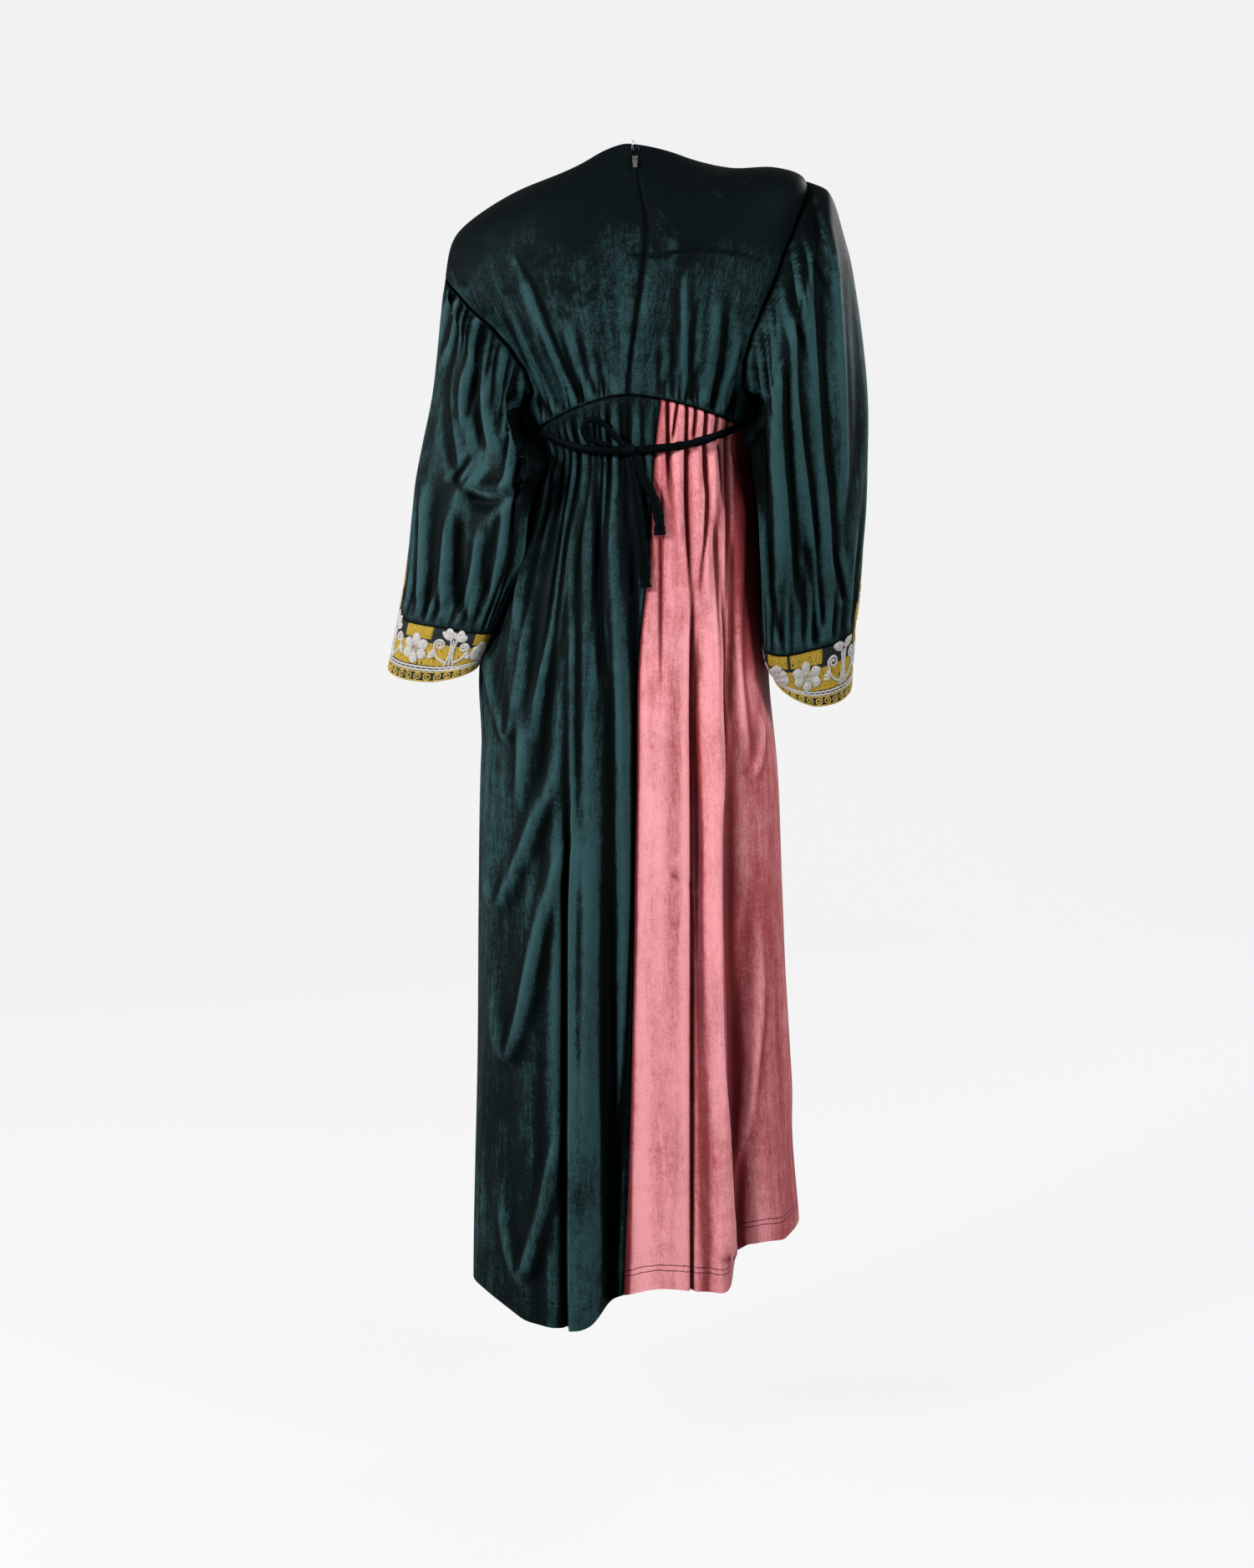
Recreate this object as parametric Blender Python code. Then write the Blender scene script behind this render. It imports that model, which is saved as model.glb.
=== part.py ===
"""A long velvet dress, hollow as when worn, with gathered sleeves, embroidered cuffs, a zip and a tie."""

import math

import bmesh
import bpy
import numpy as np
from mathutils import Matrix

# Driving sizes in metres. The front faces -Y, the wearer's left is +X, the origin is between the shoulders.
CLOTH = 0.0015
CUFF_CLOTH = 0.0020
WAIST_GAP = 0.0011
CUFF_GAP = 0.0006
ARM_LENGTH = 0.47
SLEEVE_RADIUS = 0.055
SLEEVE_POWER = 2.1
SEAM_DEGREES = 0.14
ARMHOLE_GAP = 0.0008

GATHERS_BACK = 18
GATHERS_FRONT = 8
GATHERS_SLEEVE = 11
POINTS_PER_GATHER = 4

TIE_WIDTH = 0.0080
TIE_THICK = 0.0030
TIE_LIFTS = {"tie_left": 0.0060, "tie_right": 0.0050}
TIE_POINTS = 24
KNOT_SIZE = (0.0165, 0.0110, 0.0150)
KNOT_X = -0.0020
KNOT_Z = -0.3035
KNOT_LIFT = 0.0068
KNOT_GAP = 0.0002
KNOT_WAIST = 0.10
KNOT_RINGS = 5
KNOT_SIDES = 10

TAPE_DEGREES = 6.0
TAPE_THICK = 0.0008
TAPE_GAP = 0.0011
ZIP_ANGLES = (90.0, 95.0)

SLIDER_SIZE = (0.0060, 0.0090, 0.0022)
SLIDER_LIFT = 0.0007
SLIDER_DROP = 0.0010
LUG_SIZE = (0.0012, 0.0030, 0.0034)
LUG_X = 0.0022
SINK = 0.0003
PIN_RADIUS = 0.0005
PIN_HEIGHT = 0.0021
EYE_RADIUS = 0.0013
EYE_HOLE = 0.0006
EYE_WIDTH = 0.0024
TAB_LENGTH = 0.0120
TAB_WIDTH = 0.0048
TAB_THICK = 0.0009
TAB_SHOULDER = 0.0034
SLIDER_RISE = 0.955

# Steps of angle and of level between the two points that give a panel's slope.
TURN_STEP = 0.6
LEVEL_STEP = 0.004

# Rows of points down each kind of piece, and columns across the bodice's back and front.
BODICE_RISES = np.array(
    [1.0, 0.94, 0.88, 0.82, 0.75, 0.68, 0.60, 0.50, 0.36, 0.24, 0.16, 0.12, 0.105, 0.10, 0.0]
)
TAPE_RISES = np.array(
    [0.985, 0.94, 0.88, 0.82, 0.75, 0.68, 0.60, 0.52, 0.45, 0.35, 0.25, 0.16, 0.10, 0.05, 0.01]
)
SKIRT_FALLS = np.array([0.0, 0.03, 0.06, 0.11, 0.19, 0.31, 0.46, 0.64, 0.82, 1.0])
SLEEVE_SHARES = np.array([0.0, 0.05, 0.12, 0.22, 0.34, 0.46, 0.58, 0.70, 0.82, 0.92, 1.0])
BACK_COLUMNS = 12
FRONT_COLUMNS = 17
TAPE_COLUMNS = 5


def table(names, rows):
    """A table with named columns, as one array for each name."""
    return dict(zip(names, np.array(rows, float).T))


# Rings of the bodice, from the high waist seam at rise 0 to the neck at rise 1.
BODICE = table(
    ("rise", "left x", "left z", "right x", "right z", "back y", "back z", "front y", "front z", "power"),
    [
        (0.00, 0.1190, -0.290, -0.1470, -0.283, 0.1140, -0.2420, -0.1240, -0.262, 2.2),
        (0.10, 0.1240, -0.268, -0.1510, -0.260, 0.1140, -0.2200, -0.1270, -0.240, 2.2),
        (0.35, 0.1600, -0.200, -0.1800, -0.180, 0.1160, -0.1650, -0.1300, -0.175, 2.3),
        (0.60, 0.2000, -0.130, -0.2040, -0.075, 0.1080, -0.1000, -0.1160, -0.110, 2.4),
        (0.75, 0.2090, -0.095, -0.2050, 0.004, 0.0980, -0.0550, -0.0980, -0.078, 2.4),
        (0.82, 0.1950, -0.056, -0.1720, 0.017, 0.0920, -0.0280, -0.0900, -0.062, 2.3),
        (0.90, 0.1350, -0.014, -0.1250, 0.016, 0.0820, -0.0020, -0.0840, -0.050, 2.2),
        (1.00, 0.0600, 0.013, -0.0760, 0.024, 0.0650, 0.0385, -0.0760, -0.034, 2.0),
    ],
)

# The armhole's edge, in degrees round from the side seam, between the underarm and the shoulder.
ARMHOLE = table(
    ("rise", "left back", "right back", "left front", "right front"),
    [
        (0.100, 0.0, 0.0, 0.0, 0.0),
        (0.105, 13.0, 12.0, 11.0, 11.0),
        (0.120, 27.0, 25.0, 23.0, 22.0),
        (0.160, 37.0, 34.0, 31.0, 30.0),
        (0.250, 39.0, 40.0, 35.0, 36.0),
        (0.350, 36.5, 40.6, 34.0, 37.0),
        (0.450, 31.0, 38.0, 29.0, 35.0),
        (0.600, 16.0, 31.0, 17.0, 29.0),
        (0.680, 7.5, 22.0, 8.5, 21.0),
        (0.750, 0.0, 0.0, 0.0, 0.0),
    ],
)
UNDERARM = 0.10
SHOULDER = 0.75

# Half widths and depths of the skirt at each height.
SKIRT = table(
    ("z", "left", "right", "back", "front", "power"),
    [
        (-0.243, 0.1230, 0.1490, 0.1140, 0.1250, 2.2),
        (-0.285, 0.1180, 0.1460, 0.1105, 0.1220, 2.2),
        (-0.304, 0.1095, 0.1450, 0.1080, 0.1190, 2.2),
        (-0.345, 0.1130, 0.1530, 0.1170, 0.1260, 2.2),
        (-0.420, 0.1300, 0.1590, 0.1260, 0.1310, 2.3),
        (-0.500, 0.1470, 0.1610, 0.1310, 0.1350, 2.3),
        (-0.567, 0.1660, 0.1640, 0.1350, 0.1370, 2.3),
        (-0.660, 0.1736, 0.1775, 0.1390, 0.1380, 2.4),
        (-0.820, 0.1780, 0.1860, 0.1430, 0.1400, 2.4),
        (-1.020, 0.1807, 0.1950, 0.1470, 0.1420, 2.5),
        (-1.146, 0.1838, 0.2022, 0.1500, 0.1450, 2.5),
        (-1.250, 0.1865, 0.2112, 0.1530, 0.1480, 2.5),
        (-1.400, 0.1885, 0.2140, 0.1560, 0.1510, 2.5),
    ],
)

# Height of the hem round the skirt: it is lifted on the wearer's right, and falls lowest in front.
HEM = table(
    ("angle", "z"),
    [
        (0.0, -1.303), (25.0, -1.299), (50.0, -1.319), (65.0, -1.325), (81.0, -1.319), (86.0, -1.304),
        (92.0, -1.281), (112.0, -1.284), (120.0, -1.282), (128.0, -1.243), (150.0, -1.236), (180.0, -1.236),
        (200.0, -1.256), (235.0, -1.328), (270.0, -1.392), (310.0, -1.374), (340.0, -1.328), (360.0, -1.303),
    ],
)

# Where green meets pink, in degrees round, at the seam, below the tie and at the hem.
SPLIT = table(
    ("fall", "back", "front"),
    [
        (0.00, 103.0, 250.0), (0.10, 100.0, 250.0), (0.25, 97.5, 250.0), (0.60, 94.0, 250.0),
        (1.00, 89.5, 250.0),
    ],
)

# Large folds of the skirt: a ridge, or a valley where the height is negative, from its top to the hem.
SKIRT_FOLDS = table(
    ("top angle", "hem angle", "start", "full", "top height", "hem height", "top width", "hem width"),
    [
        (18.0, 20.0, 0.20, 0.45, 0.000, 0.006, 9.0, 12.0),
        (42.0, 44.0, 0.10, 0.30, 0.004, -0.006, 5.0, 9.0),
        (56.0, 57.0, 0.10, 0.40, 0.004, 0.006, 4.0, 6.0),
        (68.0, 67.5, 0.06, 0.30, 0.006, 0.012, 3.5, 4.5),
        (79.0, 80.0, 0.06, 0.35, 0.004, 0.013, 3.5, 4.5),
        (86.0, 86.5, 0.20, 1.00, -0.002, -0.034, 3.0, 3.0),
        (102.0, 99.0, 0.08, 0.40, 0.005, 0.011, 5.0, 8.0),
        (112.5, 110.5, 0.15, 0.45, -0.004, -0.011, 2.6, 2.6),
        (118.0, 116.0, 0.10, 0.40, 0.005, 0.012, 4.0, 4.5),
        (129.0, 127.0, 0.12, 0.60, -0.004, -0.027, 4.0, 5.0),
        (146.0, 143.0, 0.15, 0.50, 0.003, 0.009, 6.0, 9.0),
        (205.0, 205.0, 0.15, 0.60, 0.000, 0.008, 8.0, 10.0),
        (232.0, 232.0, 0.15, 0.60, 0.003, 0.010, 7.0, 9.0),
        (262.0, 262.0, 0.15, 0.60, 0.003, 0.010, 7.0, 9.0),
        (290.0, 290.0, 0.15, 0.60, 0.003, 0.010, 7.0, 9.0),
        (322.0, 322.0, 0.15, 0.60, 0.003, 0.010, 7.0, 9.0),
    ],
)
GATHER_FALL = table(
    ("fall", "height"),
    [(0.00, 0.0011), (0.04, 0.0014), (0.12, 0.0036), (0.35, 0.0030), (0.65, 0.0012), (1.00, 0.0)],
)

# Folds of the bodice's back, between two rises: the deep one starts at the wearer's left shoulder blade.
BODICE_FOLDS = table(
    ("low angle", "high angle", "low rise", "high rise", "height", "width"),
    [
        (62.0, 55.0, 0.00, 0.66, -0.0060, 3.2),
        (69.0, 64.0, 0.00, 0.50, 0.0030, 4.0),
        (55.0, 49.0, 0.00, 0.45, 0.0030, 2.6),
        (48.0, 44.0, 0.00, 0.35, -0.0025, 2.4),
        (75.0, 72.0, 0.00, 0.22, -0.0025, 2.2),
        (84.0, 83.0, 0.00, 0.20, -0.0020, 2.2),
        (115.0, 108.0, 0.00, 0.40, -0.0030, 2.6),
        (124.0, 117.0, 0.00, 0.52, 0.0030, 3.0),
        (132.0, 124.0, 0.00, 0.50, -0.0040, 2.8),
        (139.0, 132.0, 0.00, 0.45, 0.0030, 2.6),
    ],
)

# Rings of each sleeve from the armhole, at 0, to the cuff's edge, at 1.
SLEEVE_COLUMNS = (
    "along", "outer x", "outer z", "inner x", "inner z", "inner y", "back y", "back z", "front y", "front z",
)
SLEEVE_LEFT = table(
    SLEEVE_COLUMNS,
    [
        (0.07, 0.2140, -0.122, 0.1250, -0.278, 0.010, 0.112, -0.200, -0.106, -0.196),
        (0.18, 0.2190, -0.172, 0.1240, -0.291, 0.038, 0.112, -0.236, -0.104, -0.230),
        (0.30, 0.2270, -0.238, 0.1140, -0.300, 0.088, 0.104, -0.270, -0.094, -0.262),
        (0.42, 0.2400, -0.300, 0.1000, -0.323, 0.114, 0.096, -0.312, -0.082, -0.305),
        (0.52, 0.2485, -0.342, 0.1065, -0.346, 0.112, 0.090, -0.346, -0.073, -0.338),
        (0.60, 0.2525, -0.376, 0.1200, -0.376, 0.096, 0.084, -0.374, -0.069, -0.368),
        (0.72, 0.2590, -0.430, 0.1300, -0.430, 0.076, 0.076, -0.430, -0.066, -0.424),
        (0.80, 0.2645, -0.468, 0.1480, -0.468, 0.054, 0.068, -0.470, -0.062, -0.462),
        (0.86, 0.2700, -0.498, 0.1620, -0.512, 0.050, 0.060, -0.507, -0.052, -0.494),
        (1.00, 0.2835, -0.562, 0.1730, -0.552, 0.048, 0.056, -0.574, -0.050, -0.556),
    ],
)
SLEEVE_RIGHT = table(
    SLEEVE_COLUMNS,
    [
        (0.06, -0.2330, -0.010, -0.1590, -0.272, 0.010, 0.108, -0.140, -0.104, -0.140),
        (0.15, -0.2530, -0.066, -0.1530, -0.284, 0.036, 0.112, -0.180, -0.106, -0.176),
        (0.24, -0.2628, -0.110, -0.1490, -0.295, 0.052, 0.108, -0.208, -0.104, -0.202),
        (0.35, -0.2732, -0.176, -0.1490, -0.308, 0.060, 0.104, -0.248, -0.099, -0.240),
        (0.47, -0.2800, -0.252, -0.1510, -0.328, 0.066, 0.098, -0.294, -0.092, -0.284),
        (0.58, -0.2800, -0.326, -0.1570, -0.364, 0.066, 0.094, -0.350, -0.085, -0.336),
        (0.70, -0.2790, -0.408, -0.1610, -0.428, 0.062, 0.086, -0.424, -0.075, -0.402),
        (0.80, -0.2755, -0.466, -0.1630, -0.484, 0.052, 0.076, -0.486, -0.068, -0.456),
        (0.88, -0.2700, -0.520, -0.1640, -0.540, 0.050, 0.066, -0.545, -0.056, -0.508),
        (1.00, -0.2668, -0.580, -0.1705, -0.563, 0.048, 0.062, -0.602, -0.054, -0.566),
    ],
)
SLEEVE_GATHER = table(
    ("along", "height"),
    [
        (0.00, 0.0008), (0.08, 0.0030), (0.30, 0.0042), (0.60, 0.0036), (0.78, 0.0030), (0.88, 0.0010),
        (1.00, 0.0),
    ],
)

# The cuff is low behind, and rises in a rounded point on the outer front.
CUFF_START = 0.868
CUFF_RISE = 0.285
CUFF_POINT = 335.0
CUFF_POINT_WIDTH = 34.0
CUFF_BAND = (0.72, 0.0011, 0.09)
CUFF_MOTIFS = (9, 0.0007)

# The tie's height round the waist.
TIE_LINE = table(
    ("angle", "z"),
    [
        (30.0, -0.282), (42.0, -0.287), (55.0, -0.297), (66.0, -0.302), (90.0, -0.304), (112.0, -0.299),
        (130.0, -0.289), (146.0, -0.278), (156.0, -0.270),
    ],
)
TIE_SPAN = (38.0, 151.0)

# Routes of the tie's loop and tails from the knot, as x and z, with the lift off the skirt.
LOOP_ROUTE = [
    (0.0042, -0.2985), (0.016, -0.285), (0.028, -0.272), (0.040, -0.270), (0.047, -0.279), (0.043, -0.290),
    (0.030, -0.2955), (0.019, -0.2985),
]
SHORT_TAIL = [
    (-0.0080, -0.3098), (-0.0165, -0.332), (-0.026, -0.349), (-0.0325, -0.366), (-0.0355, -0.382),
    (-0.0365, -0.399),
]
LONG_TAIL = [
    (-0.0010, -0.3114), (-0.006, -0.335), (-0.0105, -0.365), (-0.0145, -0.395), (-0.0180, -0.425),
    (-0.0210, -0.458),
]
LOOP_LIFT = 0.0085
LOOP_WIDTH = 0.0068
TAIL_LIFT = 0.0053
CROSSING_LIFT = 0.0023
SHORT_TAIL_END = 0.0130
LONG_TAIL_END = 0.0135

VELVET_GREEN = (0.012, 0.035, 0.035)
VELVET_PINK = (0.52, 0.15, 0.17)
EMBROIDERY = (0.42, 0.36, 0.18)
ZIP_TAPE = (0.008, 0.010, 0.010)
ZIP_METAL = (0.55, 0.54, 0.50)


def curve(at, knots, values):
    """A smooth line through the values at the knots, level with the chord on both sides of each knot."""
    values = np.asarray(values, float)
    steps = np.diff(knots)
    chords = np.diff(values, axis=0) / steps.reshape(-1, *[1] * (values.ndim - 1))
    slopes = np.concatenate([chords[:1], (chords[1:] + chords[:-1]) / 2, chords[-1:]])
    at = np.clip(at, knots[0], knots[-1])
    low = np.clip(np.searchsorted(knots, at, side="right") - 1, 0, len(knots) - 2)
    wide = at.shape + (1,) * (values.ndim - 1)
    step = steps[low].reshape(wide)
    t = ((at - knots[low]) / steps[low]).reshape(wide)
    return (
        values[low] * (1 + 2 * t) * (1 - t) ** 2
        + values[low + 1] * t**2 * (3 - 2 * t)
        + step * (slopes[low] * t * (1 - t) ** 2 - slopes[low + 1] * t**2 * (1 - t))
    )


def read(source, name, at):
    """A column of a table read smoothly at values of its first column."""
    key = next(iter(source))
    knots = source[key]
    order = np.argsort(knots)
    return curve(np.asarray(at, float), knots[order], source[name][order])


def ramp(at, start, full):
    t = np.clip((at - start) / (full - start), 0, 1)
    return t * t * (3 - 2 * t)


def bell(distance, width):
    return np.exp(-((distance / width) ** 2))


def rounded(angle, power):
    """Cosine and sine of a rounded rectangle: an ellipse where the power is 2."""
    c, s = np.cos(np.radians(angle)), np.sin(np.radians(angle))
    return np.sign(c) * np.abs(c) ** (2 / power), np.sign(s) * np.abs(s) ** (2 / power)


def side_share(angle):
    """1 at the side seams, 0 in the middle of the back and the front."""
    return np.abs(np.cos(np.radians(angle))) ** 1.5


def bodice_surface(angle, rise):
    c, s = rounded(angle, read(BODICE, "power", rise))
    left = c > 0
    back = s > 0
    x = np.where(left, read(BODICE, "left x", rise), read(BODICE, "right x", rise)) * np.abs(c)
    y = np.where(back, read(BODICE, "back y", rise), read(BODICE, "front y", rise)) * np.abs(s)
    side_z = np.where(left, read(BODICE, "left z", rise), read(BODICE, "right z", rise))
    middle_z = np.where(back, read(BODICE, "back z", rise), read(BODICE, "front z", rise))
    share = side_share(angle)
    return np.stack([x, y, side_z * share + middle_z * (1 - share)], -1)


def skirt_at(angle, z):
    """The point of the skirt's smooth form at an angle and a height."""
    sizes = {name: curve(-z, -SKIRT["z"], column) for name, column in SKIRT.items()}
    c, s = rounded(angle, sizes["power"])
    x = np.where(c > 0, sizes["left"], sizes["right"]) * c
    y = np.where(s > 0, sizes["back"], sizes["front"]) * s
    return np.stack([x, y, z], -1)


def skirt_surface(angle, fall):
    top = bodice_surface(angle, np.zeros_like(angle))[..., 2] - WAIST_GAP
    hem = read(HEM, "z", angle % 360)
    return skirt_at(angle, top + (hem - top) * fall)


def skirt_height(angle, fall):
    """How far the gathers and folds stand out of the skirt's smooth form."""
    back = angle < 180
    waves = np.where(back, GATHERS_BACK, GATHERS_FRONT) * 2 * angle
    height = read(GATHER_FALL, "height", fall) * np.cos(np.radians(waves))
    for row in zip(*SKIRT_FOLDS.values()):
        top_angle, hem_angle, start, full, top_height, hem_height, top_width, hem_width = row
        middle = top_angle + (hem_angle - top_angle) * fall
        width = top_width + (hem_width - top_width) * fall
        tall = top_height * (1 - fall) + hem_height * fall
        height = height + tall * ramp(fall, start, full) * bell(angle - middle, width)
    return height


def bodice_height(angle, rise):
    height = np.zeros_like(angle)
    for low_angle, high_angle, low_rise, high_rise, tall, width in zip(*BODICE_FOLDS.values()):
        share = np.clip((rise - low_rise) / (high_rise - low_rise), 0, 1)
        middle = low_angle + (high_angle - low_angle) * share
        fade = 1 - ramp(rise, low_rise + 0.4 * (high_rise - low_rise), high_rise)
        height = height + tall * fade * ramp(rise, 0.0, 0.06) * bell(angle - middle, width)
    return height


def armhole_angle(rise, side, face):
    """Degrees round from the side seam to the edge of a bodice piece."""
    return np.interp(rise, ARMHOLE["rise"], ARMHOLE[f"{side} {face}"], left=0.0, right=0.0)


def armhole_edge(side, face, count):
    """Points at even distances along one half of the armhole, from the shoulder to the underarm."""
    rise = np.linspace(SHOULDER, UNDERARM, 400)
    round_by = armhole_angle(rise, side, face) * (1 if face == "back" else -1)
    line = bodice_surface(round_by % 360 if side == "left" else 180 - round_by, rise)
    length = np.concatenate([[0], np.cumsum(np.linalg.norm(np.diff(line, axis=0), axis=1))])
    even = np.linspace(0, length[-1], count)
    return np.stack([np.interp(even, length, line[:, axis]) for axis in range(3)], -1)


def armhole_loop(side, count):
    """The armhole as a ring: the shoulder, down the back to the underarm, and up the front."""
    half = count // 2
    back = armhole_edge(side, "back", half + 1)
    front = armhole_edge(side, "front", half + 1)
    loop = np.concatenate([back[:-1], front[::-1][:-1]])
    inwards = loop.mean(axis=0) - loop
    loop += inwards * (ARMHOLE_GAP / np.linalg.norm(inwards, axis=1))[:, None]
    loop[:, 0] += ARMHOLE_GAP * (1 if side == "left" else -1)
    return loop


def sleeve_rings(rows, angle):
    """A ring through the outer, back, inner and front points of each row."""
    c, s = rounded(angle, SLEEVE_POWER)
    outer = np.stack([rows["outer x"], 0 * rows["outer x"], rows["outer z"]], -1)
    inner = np.stack([rows["inner x"], rows["inner y"], rows["inner z"]], -1)
    middle_x = (rows["outer x"] + rows["inner x"]) / 2
    back = np.stack([middle_x, rows["back y"], rows["back z"]], -1)
    front = np.stack([middle_x, rows["front y"], rows["front z"]], -1)
    centre = (outer + inner + back + front) / 4
    rings = centre[:, None]
    for point, share in ((outer, c), (inner, -c), (back, s), (front, -s)):
        rings = rings + (point - centre)[:, None] * np.maximum(share, 0)[None, :, None]
    return rings


def sleeve_surface(side, columns, along):
    """The sleeve and its cuff as one tube. Along holds a row of values for each column's way down the arm."""
    rows = SLEEVE_LEFT if side == "left" else SLEEVE_RIGHT
    angle = 360 * np.arange(columns) / columns
    rings = np.concatenate([armhole_loop(side, columns)[None], sleeve_rings(rows, angle)])
    knots = np.concatenate([[0.0], rows["along"]])
    return np.stack([curve(along[:, i], knots, rings[:, i]) for i in range(columns)], 1)


def cuff_line(angle):
    """How far down the arm the cuff starts, with its rounded point on the outer front."""
    from_point = np.abs((angle - CUFF_POINT + 180) % 360 - 180)
    return CUFF_START - CUFF_RISE * np.exp(-((from_point / CUFF_POINT_WIDTH) ** 3))


def unit(direction):
    return direction / np.linalg.norm(direction, axis=-1, keepdims=True)


def tube_normals(grid):
    """Outward directions of a tube whose rows run down and whose columns run round."""
    across = np.roll(grid, -1, axis=1) - np.roll(grid, 1, axis=1)
    direction = unit(np.cross(np.gradient(grid, axis=0), across))
    outwards = (direction * (grid - grid.mean(axis=1, keepdims=True))).sum() > 0
    return direction if outwards else -direction


def panel_normals(surface, angle, level, seam_row):
    """Outward directions of a panel, level at the waist seam, and the same on both sides of every seam."""
    across = surface(angle + TURN_STEP, level) - surface(angle - TURN_STEP, level)
    low, high = np.maximum(level - LEVEL_STEP, 0), np.minimum(level + LEVEL_STEP, 1)
    along = surface(angle, high) - surface(angle, low)
    direction = np.cross(along, across)
    grid = surface(angle, level)
    if (direction * (grid - grid.mean(axis=(0, 1)))).sum() < 0:
        direction = -direction
    direction[seam_row, :, 2] = 0
    return unit(direction)


def material(name, colour, roughness, metallic=0.0):
    made = bpy.data.materials.new(name)
    made.use_nodes = True
    shader = made.node_tree.nodes["Principled BSDF"]
    shader.inputs["Base Color"].default_value = (*colour, 1)
    shader.inputs["Roughness"].default_value = roughness
    shader.inputs["Metallic"].default_value = metallic
    made.diffuse_color = (*colour, 1)
    return made


def add_object(name, points, faces, finish):
    mesh = bpy.data.meshes.new(name)
    mesh.from_pydata([tuple(point) for point in points], [], faces)
    mesh.materials.append(finish)
    shape = bmesh.new()
    shape.from_mesh(mesh)
    bmesh.ops.recalc_face_normals(shape, faces=shape.faces)
    bmesh.ops.triangulate(shape, faces=[face for face in shape.faces if len(face.verts) > 4])
    shape.to_mesh(mesh)
    shape.free()
    mesh.shade_smooth()
    made = bpy.data.objects.new(name, mesh)
    bpy.context.collection.objects.link(made)
    return made


def wall_faces(rows, columns, closed):
    """Quads of an outer grid, an inner grid after it, and the borders that join the two."""
    inner = rows * columns
    last = columns if closed else columns - 1
    faces = []
    for row in range(rows - 1):
        for column in range(last):
            beside = (column + 1) % columns
            a, b = row * columns + column, row * columns + beside
            c, d = a + columns, b + columns
            faces.append((a, c, d, b))
            faces.append((inner + a, inner + b, inner + d, inner + c))
    for column in range(last):
        beside = (column + 1) % columns
        foot = (rows - 1) * columns
        faces.append((column, beside, inner + beside, inner + column))
        faces.append((foot + column, inner + foot + column, inner + foot + beside, foot + beside))
    if not closed:
        for row in range(rows - 1):
            a, c = row * columns, (row + 1) * columns
            b, d = a + columns - 1, c + columns - 1
            faces.append((a, inner + a, inner + c, c))
            faces.append((b, d, inner + d, inner + b))
    return faces


def add_wall(name, grid, out, height, thick, closed, finish, raised=0.0):
    """A cloth wall: the grid moved out by the folds' height, and the same moved in by the thickness."""
    inner = grid + out * (height[..., None] - thick)
    outer = grid + out * (height + raised)[..., None]
    points = np.concatenate([outer.reshape(-1, 3), inner.reshape(-1, 3)])
    return add_object(name, points, wall_faces(*grid.shape[:2], closed), finish)


def spread(start, end, count):
    """Columns of angles between two edges that may change from row to row."""
    share = np.linspace(0, 1, count)[None]
    return np.asarray(start, float)[:, None] * (1 - share) + np.asarray(end, float)[:, None] * share


def make_bodice(finish):
    rises = BODICE_RISES
    zip_angle = np.interp(rises, (0, 1), ZIP_ANGLES)
    left_edge = armhole_angle(rises, "left", "back") + SEAM_DEGREES
    right_edge = 180 - armhole_angle(rises, "right", "back") - SEAM_DEGREES
    front_left = 360 - armhole_angle(rises, "left", "front") - SEAM_DEGREES
    front_right = 180 + armhole_angle(rises, "right", "front") + SEAM_DEGREES
    pieces = (
        ("bodice_back_left", left_edge, zip_angle - SEAM_DEGREES, BACK_COLUMNS),
        ("bodice_back_right", zip_angle + SEAM_DEGREES, right_edge, BACK_COLUMNS),
        ("bodice_front", front_right, front_left, FRONT_COLUMNS),
    )
    for name, start, end, columns in pieces:
        angle = spread(start, end, columns)
        rise = np.repeat(rises[:, None], columns, 1)
        out = panel_normals(bodice_surface, angle, rise, -1)
        add_wall(name, bodice_surface(angle, rise), out, bodice_height(angle, rise), CLOTH, False, finish)


def make_skirt(green, pink):
    falls = SKIRT_FALLS
    back_split = read(SPLIT, "back", falls)
    front_split = read(SPLIT, "front", falls)
    level = np.ones_like(falls)
    back_step = 180 / GATHERS_BACK / POINTS_PER_GATHER
    pieces = (
        ("skirt_back_green", 0 * level + SEAM_DEGREES, back_split - SEAM_DEGREES, back_step, green),
        ("skirt_back_pink", back_split + SEAM_DEGREES, 180 * level - SEAM_DEGREES, back_step, pink),
        ("skirt_front_pink", 180 * level + SEAM_DEGREES, front_split - SEAM_DEGREES, 2 * back_step, pink),
        ("skirt_front_green", front_split + SEAM_DEGREES, 360 * level - SEAM_DEGREES, 2 * back_step, green),
    )
    for name, start, end, step, finish in pieces:
        columns = int(round((end[0] - start[0]) / step)) + 1
        angle = spread(start, end, columns)
        fall = np.repeat(falls[:, None], columns, 1)
        out = panel_normals(skirt_surface, angle, fall, 0)
        add_wall(name, skirt_surface(angle, fall), out, skirt_height(angle, fall), CLOTH, False, finish)


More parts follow.
